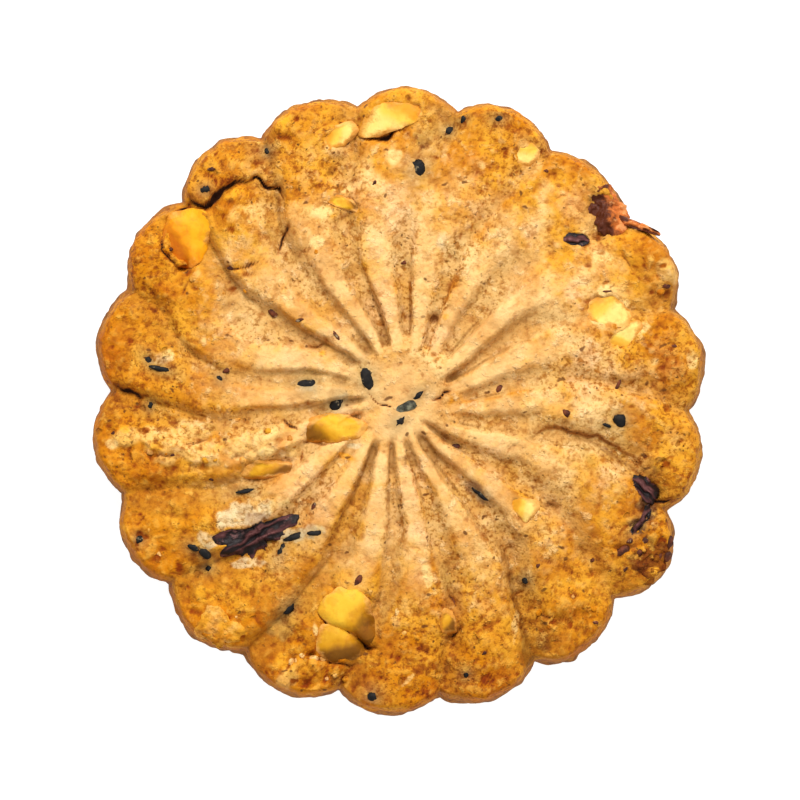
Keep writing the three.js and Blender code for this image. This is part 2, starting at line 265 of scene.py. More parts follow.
# The pressed dough, with the solid's own outline, crown and wall
dough = {
    "length": 70.8,  # along Y, over the lobe tips
    "width": 69.4,
    "crown": 8.4,  # top of the petals
    "lobes": 18,
    "notchDepth": 2.0,
    "notchAngle": 18,
    "oddLobes": {1: -0.8, 5: 0.4, 15: 0.7},  # lobes that reach less far or further
    "middleRadius": 5.0,
    "middleDish": 0.5,
    "fluteDepth": 1.0,  # less than the solid's: crumb has filled the flutes
    "grooveDepth": 1.35,  # between the petals outside
    "steepFlank": (0.34, 0.7),  # a ridge's one side, across half a petal
    "gentleFlank": (0.2, 0.78),
    "grooveBrink": (0.58, 0.18),  # on the two sides
    "ridgeToPetal": (0.4, 0.7),  # shares of the radius
    "lean": 0.1,  # crests lie off the middle of their petals
    "fluteStart": (0.95, 1.3),  # multiples of the middle's radius
    "swirl": 9.5,
    "swirlSkew": 0.85,
    "sway": 1.1,  # degrees that a groove wanders
    "shoulderDrop": 1.1,
    "edgeRound": 1.3,  # the face rolls over into the wall
    "edgeFall": 1.9,
    "draft": 0.5,
    "footRound": 0.9,
    "uneven": 0.18,
    "chipped": 0.2,  # unevenness of the edge
    "wallCrust": 0.32,  # roughness of the wall
    "baseHollow": 0.12,  # the base rises this far to its middle
    "gridSteps": 280,  # along each side of the face's grid
}
tipRadius = dough["length"] / 2
oval = dough["width"] / dough["length"]
meanRadius = tipRadius - dough["notchDepth"] / 3
faceRadius = meanRadius - dough["edgeRound"]

# Relief that the baking left: x, y, length, width, turn, height
relief = {
    "lumps": [
        (-16.6, 20.2, 9.2, 7.6, 20, 0.6), (-22, -4.8, 22, 6, -6, 0.3), (-9.6, -30.2, 4.2, 3.4, 40, 0.4),
        (-24.6, -19.4, 4.6, 4, 50, 0.4), (-22, -21.2, 3.2, 2.8, 0, 0.5), (19.4, -22.4, 6, 4, 10, 0.4),
        (27.6, 15.6, 5, 4.4, 0, 0.3), (-7.4, 22.2, 6, 4.6, 20, 0.3), (29.2, -6.7, 3, 2.4, 0, 0.3),
        (-12.8, 30.6, 4, 4, 0, 0.3), (-8, -11, 6, 2, 50, 0.3),
    ],
    "slabs": [  # with a sharp brink
        (-30, -4, 3.8, 2.8, 20, 0.35), (-26.6, -4.4, 5.2, 3.4, -15, 0.5),
        (-22.6, -3.4, 4.8, 2.8, -10, 0.5), (-22, -6, 5.8, 2.4, -8, 0.4), (-18.2, -4.6, 5.2, 3.2, 15, 0.6),
        (-14.6, -4, 4.4, 3, 25, 0.65), (-14.8, -6, 5, 2, 8, 0.45), (-11.8, -5.6, 2, 2.4, 0, 0.4),
        (-25.6, -6.4, 3.4, 1.8, 10, 0.35), (-12.2, -30.8, 3, 2, 30, 0.35), (30, 14.4, 3.2, 3.6, 30, 0.25),
        (-9.2, 21, 2.6, 1.8, 10, 0.25),
    ],
    "dips": [
        (22.2, 21.6, 4.6, 3, -45, 0.9), (28, -16.6, 5, 4.2, 60, 0.5), (-24, 14.6, 2.2, 1, 0, 1),
        (4.1, 9.1, 1.8, 1.4, 40, 0.6), (17.2, -11.7, 2.6, 1, -15, 0.5), (-9.6, -28.2, 1.2, 0.8, -30, 0.9),
        (-7.1, 25.8, 2.4, 2.8, 0, 0.4), (28.2, -9.8, 4.4, 3.4, -58, 0.5), (26.5, -14, 2.4, 1.6, 50, 0.5),
        (29.3, -6.7, 1, 0.6, 20, 0.4), (-7.4, -3.2, 10, 5.6, -4, 0.6), (-14.4, -7.7, 9, 3.6, 8, 0.3),
    ],
    "faded": [(20, 14, 28, 17, 130, 0.8), (3, 24, 24, 13, 0, 0.7)],  # flutes are lost here
    "cut": [(-15, 11, 24, 16, 145, 0.5), (-1, -16, 14, 20, 0, 0.2)],  # and deeper here
    "drift": [(25, -7, 18, 24, 0, 4), (-18, 5.5, 20, 11, 155, 6)],  # grooves bend on, in degrees
    "torn": [
        (-22, -4.6, 22, 6.4, -6, 0.45), (-20, -25.4, 7.4, 4.8, 22, 0.8), (-9.4, -30.6, 9, 5.6, 20, 1),
        (28, -16.8, 6.6, 5.2, 70, 1), (23.6, 21.4, 5.6, 3.6, -50, 1), (-28.4, -16, 5.4, 4.8, 40, 0.8),
        (-14, -5.4, 7, 3.2, 12, 0.7), (-10, 17.6, 3.4, 4.6, 0, 0.6), (0.6, -26.6, 4.6, 8, 0, 0.4),
        (18.4, -24, 8, 6, 0, 0.5), (29, 14.6, 6, 6, 0, 0.5), (-20, 13, 8, 4, -20, 0.4),
    ],
}

# Cracks and gaps: half width, depth, height of a lip on the line's left, darkness of the shade painted in,
# line
cracks = [
    (0.22, 1.2, 0.5, 1, [(-23, 22.4), (-22.4, 21.8), (-21.4, 21.5), (-20.4, 22.3), (-19.4, 23.2),
        (-18.2, 23.9), (-16.6, 24.2)]),
    (0.15, 1.1, 0.3, 1, [(-16.6, 24.2), (-16.2, 24.7), (-15.4, 24.5), (-14.2, 23.7), (-13.3, 23.4),
        (-12.9, 22.4)]),
    (0.2, 0.9, 0.2, 0.9, [(-25.4, 20.6), (-24.2, 20.9), (-22.8, 21.8)]),
    (0.16, 0.5, 0, 0.8, [(-12.3, 19.9), (-12.6, 18.6), (-13.2, 17.2), (-13.6, 16.2)]),
    (0.16, 0.4, 0, 0.75, [(-14.8, 15.8), (-16.4, 15.2), (-17.6, 14.8), (-18.6, 14.6), (-19.4, 14.9)]),
    (0.14, 0.3, 0, 0.6, [(-24.1, 11.5), (-23.8, 12.4), (-23.1, 13.5)]),
    (0.16, 0.7, 0, 0.8, [(-25.6, 20.4), (-26.1, 18.8), (-26.1, 16.8), (-25.3, 15.3), (-23.6, 14.8),
        (-22.2, 15.4)]),
    (0.24, 0.7, 0.15, 0.85, [(-31.6, 1.8), (-30.6, 1.2), (-29.4, 0.9), (-28.4, 0.4)]),
    (0.14, 0.4, 0, 0.65, [(-10.2, 6.4), (-9, 6), (-8, 6.5)]),
    (0.2, 0.9, 0, 0.85, [(-4.2, 29.2), (-2.4, 29.1), (-0.9, 29.5), (0.1, 30.2)]),
    (0.06, 0.25, 0, 0.95, [(-3.3, 0.8), (-1.6, -0.4), (-0.5, -1)]),
    (0.12, 0.45, 0, 0.95, [(3.4, 0.2), (4.6, 0.2), (5, 0.9), (5.8, 1)]),
    (0.16, 0.4, 0, 0.65, [(24.7, 16.6), (25.4, 15.4), (25.9, 14.3)]),
    (0.18, 0.35, 0.5, 0.65, [(15.2, -3.9), (16.6, -3.3), (18.5, -3.2), (20, -3.6), (22, -4.2),
        (24.4, -5.4), (26.4, -6.8)]),
    (0.14, 0.4, 0, 0.65, [(5.7, -20.9), (6.2, -22), (6.7, -23.3)]),
    (0.16, 0.5, 0, 0.7, [(6.9, -24.4), (6.7, -25.5), (6, -26.2), (5, -26.3)]),
    (0.14, 0.4, 0, 0.6, [(15, -24.8), (15.4, -23.8), (16.6, -24.1), (18.2, -24.1)]),
    (0.14, 0.4, 0, 0.6, [(12.9, -21.9), (13.6, -21.4), (14.2, -20.9)]),
    (0.12, 0.3, 0, 0.5, [(-28.2, -5.6), (-26.8, -6.2), (-25.4, -5.9)]),
    (0.14, 0.4, 0, 0.55, [(-24, -4.9), (-22.4, -4.9), (-20.6, -4.4)]),
    (0.1, 0.3, 0, 0.65, [(-11.2, -7.2), (-11, -6.5), (-10.7, -5.4)]),
    (0.12, 0.4, 0, 0.8, [(-12.8, -2.2), (-12, -3), (-11.2, -3.2)]),
    (0.1, 0.4, 0, 0.6, [(-10.8, -4.5), (-9.6, -4.8), (-8.2, -4.9), (-6.8, -4.6)]),
    (0.15, 0.4, 0, 0.5, [(-16.4, -20.2), (-16.2, -21), (-16.4, -21.8)]),
    (0.2, 0.3, 0, 0.4, [(-20, -20.9), (-20.2, -22.8)]),
    (0.2, 1.3, 0, 0.85, [(-8.8, -23.8), (-8, -24.7), (-6, -25.8), (-4.6, -26.8), (-3.4, -27.5),
        (-2.3, -27.5)]),
    (0.18, 0.8, 0, 0.7, [(-9.9, -28.2), (-8.4, -28.8), (-7, -29.1), (-5.4, -29.3), (-4, -29.1)]),
    (0.2, 0.6, 0, 0.9, [(28, -11.4), (29.6, -11.2), (31, -10.8)]),
    (0.18, 0.5, 0, 0.7, [(24.2, -16.8), (25.4, -16.2), (26.5, -15.9)]),
    (0.26, 0.7, 0, 0.9, [(24.6, 20.6), (26, 19.9), (28, 19.4), (29.2, 18.6)]),
    (0.3, 0.2, 0.15, 0.2, [(-31, -8.5), (-28, -8.9), (-24, -9), (-20, -8.8), (-16, -8.7)]),
    (0.2, 0.5, 0, 0.6, [(23.5, -22.4), (24.4, -21.8), (25.2, -21.8)]),
    (0.16, 0.5, 0, 0.5, [(-7.6, -20.4), (-7.2, -20.9), (-6.6, -21)]),
    (0.16, 0.5, 0, 0.5, [(-3.9, -21.4), (-3.4, -22), (-2.9, -22.3)]),
]


# Steady value from -1 to 1 for each whole number, from the far digits of a sine.
def chance(number):
    wave = np.sin(12.9898 * (np.asarray(number) + 1)) * 43758.5453
    return 2 * (wave - np.floor(wave)) - 1


# Sideways bow of the grooves, in radians: a squared sine of the share of the radius.
def bow(share):
    return math.radians(dough["swirl"]) * np.sin(np.pi * np.clip(share, 0, 1) ** dough["swirlSkew"]) ** 2


# Petal number for a turn from the first notch, and place across it from -1 in one groove to 1 in the next.
def petalOf(turn):
    petals = turn / (2 * np.pi) % 1 * dough["lobes"]
    petal = np.floor(petals).astype(int) % dough["lobes"]
    return petal, 2 * (petals - np.floor(petals)) - 1


# Share of the radius, petal number and place across the petal: the turn less sway, drift and bow. The
# place is pushed sideways by a parabola, so that crests lean.
def petalPlace(x, y):
    share = np.hypot(x / oval, y) / meanRadius
    sway = dough["sway"] * crumbNoise(x, y, 7.0, 2, 5) * (1 - smoothRise(share, 0.75, 0.95))
    sway = sway + spotField(x, y, relief["drift"], 0.3, 0.0) * (1 - smoothRise(share, 0.8, 0.95))
    turn = np.arctan2(y, x / oval) - np.radians(dough["notchAngle"] + sway) - bow(share)
    petal, phase = petalOf(turn)
    lean = dough["lean"] * smoothRise(share, 0.12, 0.45)
    return share, petal, phase - lean * (1 - phase**2)


# Share of the flutes' full depth, which sets in round the plain middle, sooner or later by a shift.
def fluteStart(share, shift=0.0):
    return smoothRise(share * meanRadius / dough["middleRadius"] + shift, *dough["fluteStart"])


# Depth of the flutes: near the middle level hollows between steep ridges, and outside grooves between
# broad petals, which deepen by a power of the place across. No two are alike.
def fluteDepth(x, y):
    share, petal, phase = petalPlace(x, y)
    flute = (petal + (phase > 0)) % dough["lobes"]
    across = np.abs(phase) + 0.08 * crumbNoise(x, y, 2.4, 2, 7) + 0.14 * chance(flute + 60)
    steep, gentle = (smoothRise(across, *dough[side]) for side in ("steepFlank", "gentleFlank"))
    hollow = dough["fluteDepth"] * np.where(phase > 0, steep, gentle)
    brink = np.where(phase > 0, *dough["grooveBrink"])
    groove = np.clip((across - brink) / (1 - brink), 0, 1.1) ** 1.25
    depth = blendOf(hollow, dough["grooveDepth"] * groove, smoothRise(share, *dough["ridgeToPetal"]))
    own = 1 + 0.3 * chance(flute + 40) + 0.2 * crumbNoise(x, y, 4.0, 2, 9)
    own = own + spotField(x, y, relief["cut"], 0.3, 0.0)
    start = fluteStart(share, 0.4 * chance(flute + 80))
    return depth * own * start * (1 - spotField(x, y, relief["faded"], 0.2, 0.0))


# Height of the pressed face: crown less dish, fall and flutes, and each petal a little off level.
def pressedHeight(x, y):
    share, petal, phase = petalPlace(x, y)
    lift = dough["uneven"] * chance(petal) * (1 - phase**2) * fluteStart(share)
    dish = dough["middleDish"] * (1 - smoothRise(share, 0, 0.4))
    fall = dough["shoulderDrop"] * smoothRise(share, 0.45, 1)
    return dough["crown"] + lift - dish - fall - fluteDepth(x, y)


# How deep the cracks cut (a bell across each line, tapering to its ends), how much shade is painted into
# them, and the lips along them, which stand up at the line and sink back over a few millimetres.
def crackFields(x, y):
    wander = 0.3 * crumbNoise(x, y, 1.4, 2, 41), 0.3 * crumbNoise(x, y, 1.4, 2, 43)
    depths, crackShades, lips = np.zeros_like(x), np.zeros_like(x), np.zeros_like(x)
    for halfWidth, depth, lip, dark, line in cracks:
        away, along = lineField(x + wander[0], y + wander[1], line)
        taper = np.sin(np.pi * (0.08 + 0.84 * along)) ** 0.5
        depths = np.maximum(depths, depth * taper * np.exp(-((away / (halfWidth + 0.08)) ** 2)))
        reach = halfWidth + 0.08 + 0.1 * lip
        crackShades = np.maximum(crackShades, dark * taper * np.exp(-(((away - 0.2 * lip) / reach) ** 2)))
        stand = smoothRise(away, -0.2, 0.1) * (1 - smoothRise(away, 0.6, 4.5))
        lips = np.maximum(lips, lip * taper * stand)
    return depths, crackShades, lips


# Pieces set into the dough: how deep their pocket is, how far crumb has melted in over the edge (melt),
# how far the whole flesh has deepened (ripe), how far the crown stands proud of the dough, the finish of
# the flesh, the turn of the side where the flesh is deepest and falls away (deep), its deeper colour partly
# painted shade, or of a raisin's folds (grain), and the corners round the outline, seen from above.
insets = {
    "nut_1": {"melt": -0.15, "proud": 0.3, "flesh": "orange", "deep": 215, "corners": [
        (-25.2, 20.6), (-24, 20.9), (-22.9, 21.2), (-21.6, 20.6), (-21.2, 19.2), (-21.4, 17), (-22, 15.8),
        (-23, 15.1), (-25, 15.2), (-25.8, 16.6), (-25.9, 18.6)]},
    "nut_2": {"ripe": 0.1, "proud": 0.3, "flesh": "cream", "deep": 60, "corners": [
        (-4.4, 29.3), (-2, 29.5), (0.2, 30.3), (1.8, 31), (2.7, 32), (2.2, 33), (0.4, 33.2), (-1.8, 33),
        (-3.4, 31.6)]},
    "nut_3": {"pocket": 0.5, "melt": 0.1, "proud": 0.15, "flesh": "cream", "deep": 160, "corners": [
        (-8.5, 29.3), (-7.4, 30.3), (-5.3, 31), (-4.6, 30.3), (-4.9, 29.4), (-6, 28.4), (-7.8, 27.9),
        (-8.3, 28.3)]},
    "nut_4": {"melt": -0.14, "proud": 0.6, "flesh": "amber", "deep": -35, "corners": [
        (-8.6, -23.9), (-8.2, -22.4), (-6.6, -21.2), (-4.8, -21.3), (-3.4, -22.3), (-2.9, -24),
        (-2.3, -26.6), (-2.8, -27.2), (-3.9, -26.9), (-5.2, -25.6), (-7.6, -24.8)]},
    "nut_5": {"melt": -0.14, "ripe": 0.3, "proud": 0.45, "flesh": "amber", "deep": -80, "corners": [
        (-8.6, -25.2), (-7.4, -25), (-6.2, -25.6), (-5, -26.4), (-4, -27.2), (-4.1, -28.2), (-5, -29),
        (-7, -29), (-8.4, -28.7), (-9, -27.6), (-8.9, -26.6)]},
    "nut_6": {"ripe": -0.05, "proud": 0.45, "flesh": "amber", "deep": 230, "corners": [
        (-11, -3.4), (-9.9, -2.2), (-7.9, -1.6), (-5.5, -1.8), (-3.9, -2.6), (-3.6, -3.3), (-4.6, -4.1),
        (-7.2, -4.6), (-9.8, -4.6), (-11.1, -4.2)]},
    "nut_7": {"proud": 0.25, "flesh": "cream", "deep": 170, "corners": [
        (12.2, -11), (13.4, -10.8), (15.6, -11.3), (15.6, -12), (14.8, -12.9), (14, -13.6), (13.3, -12.7),
        (12.4, -12)]},
    "nut_8": {"pocket": 0.4, "melt": 0.04, "ripe": -0.1, "proud": 0.08, "flesh": "cream", "deep": 130,
        "corners": [
        (20.6, 11), (21.8, 11.9), (23.8, 12), (25, 10.6), (26, 9.5), (25.2, 8.4), (23, 8.3), (21.2, 9.2),
        (20.4, 10)]},
    "nut_9": {"pocket": 0.4, "melt": 0.04, "ripe": -0.3, "proud": 0.08, "flesh": "cream", "deep": 250,
        "corners": [
        (23.2, 6.6), (24, 7.4), (25.4, 8.4), (26.7, 8.9), (27, 8), (26.2, 7), (25.6, 6), (24.4, 5.8),
        (23.4, 6)]},
    "nut_10": {"pocket": 0.4, "melt": 0.1, "proud": 0.08, "flesh": "cream", "deep": 90, "corners": [
        (13, 28.6), (13.8, 29.3), (15, 28.9), (15.7, 27.8), (15.5, 26.8), (14.6, 26), (13.6, 26.2),
        (13, 27.2)]},
    "nut_11": {"pocket": 0.5, "melt": 0.1, "proud": 0.2, "flesh": "amber", "deep": 20, "corners": [
        (-8, 22.2), (-6.8, 22.8), (-5.2, 22.3), (-4.3, 21.5), (-3.7, 20.9), (-5, 21), (-6.6, 21.4)]},
    "nut_12": {"pocket": 0.5, "melt": 0.2, "ripe": 0.2, "proud": 0.3, "flesh": "amber", "deep": -60,
        "corners": [
        (-17, -7.6), (-15.6, -6.8), (-13.4, -6.7), (-11.6, -7.2), (-11.3, -7.9), (-13, -8.4), (-15, -8.7),
        (-17.4, -8.6)]},
    "nut_13": {"melt": 0.15, "ripe": 0.3, "proud": 0.25, "flesh": "amber", "deep": -40, "corners": [
        (4.6, -24), (5.2, -23.2), (6, -23.6), (6.4, -24.8), (6.4, -25.7), (5.6, -26), (4.7, -25.6)]},
    "raisin_1": {"proud": 0.3, "ragged": 0.26, "rough": 0.3, "flesh": "raisin", "grain": 24, "corners": [
        (-21.1, -15.7), (-20, -14.7), (-18.5, -14.4), (-16.6, -14), (-14.5, -13.3), (-12.6, -12.9),
        (-12, -12.1), (-11.7, -13.2), (-12.2, -14.2), (-13.5, -15), (-15, -16.2), (-16.5, -17.2),
        (-18.7, -17), (-19.6, -16.2)]},
    "raisin_2": {"proud": 0.35, "ragged": 0.12, "flesh": "raisin", "grain": -50, "corners": [
        (25.8, -8), (26.6, -8.3), (27.6, -8.7), (28.7, -9.8), (28.9, -10.8), (28, -11.4), (27.2, -10.8),
        (26.4, -9.8), (25.9, -9)]},
    "raisin_3": {"proud": 0.2, "flesh": "raisin", "grain": -8, "corners": [
        (18.1, 18), (19, 18.6), (20.4, 18.5), (21.2, 17.8), (20.6, 17.2), (19.2, 17.1), (18.3, 17.4)]},
}
insetForm = {
    "sides": 96,
    "rows": 18,  # from the crown to the brink
    "ease": 4,  # degrees that corners are eased by
    "spread": 1.12,  # of the outline, for the crumb that clings round the flesh
    "brim": 0.05,  # the dough laps over the brink by this
    "pocket": 1.0,
    "facetSlope": 0.3,
    "foldDepth": 0.4,
    "foldSpacing": 1.3,
    "top": 8.9,  # of a piece with no solid of its own
    "keel": 1.2,  # and how deep it goes
}


# Reach of a corner outline from its middle, at each turn: straight sides with the corners eased.
def outlineReach(corners, turns):
    points = np.array(corners, float)
    middle = points.mean(0)
    steps = np.linspace(0, 1, 60, endpoint=False)[:, None, None]
    edge = (blendOf(points, np.roll(points, -1, axis=0), steps) - middle).reshape(-1, 2)
    angles, reaches = np.arctan2(edge[:, 1], edge[:, 0]), np.hypot(edge[:, 0], edge[:, 1])
    order = np.argsort(angles)
    ease = np.radians(np.arange(-2, 3) * insetForm["ease"])
    around = np.interp(turns[..., None] + ease, angles[order], reaches[order], period=2 * np.pi)
    return middle, insetForm["spread"] * around @ np.array([1, 2, 3, 2, 1]) / 9


# How far the dough sinks under the pieces set into it. The brink of each pocket is ragged.
def pocketDepth(x, y):
    depth = np.zeros_like(x)
    fray = 0.16 * crumbNoise(x, y, 1.3, 2, 47)
    for inset in insets.values():
        middle, furthest = np.mean(inset["corners"], 0), 7.0
        near = np.hypot(x - middle[0], y - middle[1]) < furthest
        dx, dy = x[near] - middle[0], y[near] - middle[1]
        share = np.hypot(dx, dy) / outlineReach(inset["corners"], np.arctan2(dy, dx))[1] + fray[near]
        pocket = inset.get("pocket", insetForm["pocket"]) * (1 - smoothRise(share, 0.6, 0.9))
        depth[near] = np.maximum(depth[near], pocket)
    return depth


# Heights of the crumb on the face
crumbRelief = {"rolls": 0.18, "crags": 0.36, "flakes": 0.2, "grain": 0.1, "tornGrain": 0.05}


# Height of the face before anything cuts into it: pressed form, lumps, slabs, lips and dips.
def bakedHeight(x, y):
    fray = crumbNoise(x, y, 1.6, 3, 11)
    lumps = spotField(x, y, relief["lumps"], 0.25, 0.1 * fray)
    slabs = spotField(x, y, relief["slabs"], 0.66, 0.35 * fray)
    dips = spotField(x, y, relief["dips"], 0.35, 0.3 * fray)
    rolls = crumbRelief["rolls"] * crumbNoise(x, y, 5.0, 2, 37)
    return pressedHeight(x, y) + np.maximum(lumps, slabs) - dips + rolls + crackFields(x, y)[2]


# Height of the finished face: torn crumb and grain on the baked form, less pockets and cracks.
def faceHeight(x, y):
    share = petalPlace(x, y)[0]
    torn = spotField(x, y, relief["torn"], 0.4, 0.2 * crumbNoise(x, y, 2.2, 3, 13))
    crags = crumbRelief["crags"] * torn * flakeNoise(x, y, 2.0, 3, 23)
    outer = 0.35 + smoothRise(share, 0.55, 0.95)
    flakes = crumbRelief["flakes"] * outer * flakeNoise(x, y, 2.8, 2, 29)
    grain = (crumbRelief["grain"] + crumbRelief["tornGrain"] * torn) * crumbNoise(x, y, 1.3, 3, 31)
    return bakedHeight(x, y) + crags + flakes + grain - pocketDepth(x, y) - crackFields(x, y)[0]


# Grid of the face: a square wound onto a disc in even rings, as ring share and turn.
def facePlan():
    line = np.linspace(-1, 1, dough["gridSteps"] + 1)
    a, b = np.meshgrid(line, line, indexing="ij")
    wide = np.abs(a) > np.abs(b)
    ring = np.where(wide, a, b)
    ratio = np.where(wide, b, a) / np.where(ring == 0, 1, ring)
    turn = np.where(wide, ratio * np.pi / 4, np.pi / 2 - ratio * np.pi / 4) + np.where(ring < 0, np.pi, 0)
    return np.abs(ring), turn


# Plan point for a ring share and a turn: the lobes come in with the ring's fourth power, and the
# grid is swirled as the flutes are.
def planPoint(ring, turn, out=0.0):
    petal, phase = petalOf(turn - math.radians(dough["notchAngle"]))
    odd = np.array([dough["oddLobes"].get(i, 0.0) for i in range(dough["lobes"])])[petal]
    outline = blendOf(tipRadius + odd, tipRadius - dough["notchDepth"], phase**2)
    chips = crumbNoise(30 * np.cos(turn), 30 * np.sin(turn), 2.8, 2, 59) - 0.5
    outline = outline + dough["chipped"] * chips
    reach = ring * faceRadius + (outline - meanRadius) * ring**4 + out
    way = turn + bow(ring * faceRadius / meanRadius)
    return reach * np.cos(way) * oval, reach * np.sin(way)
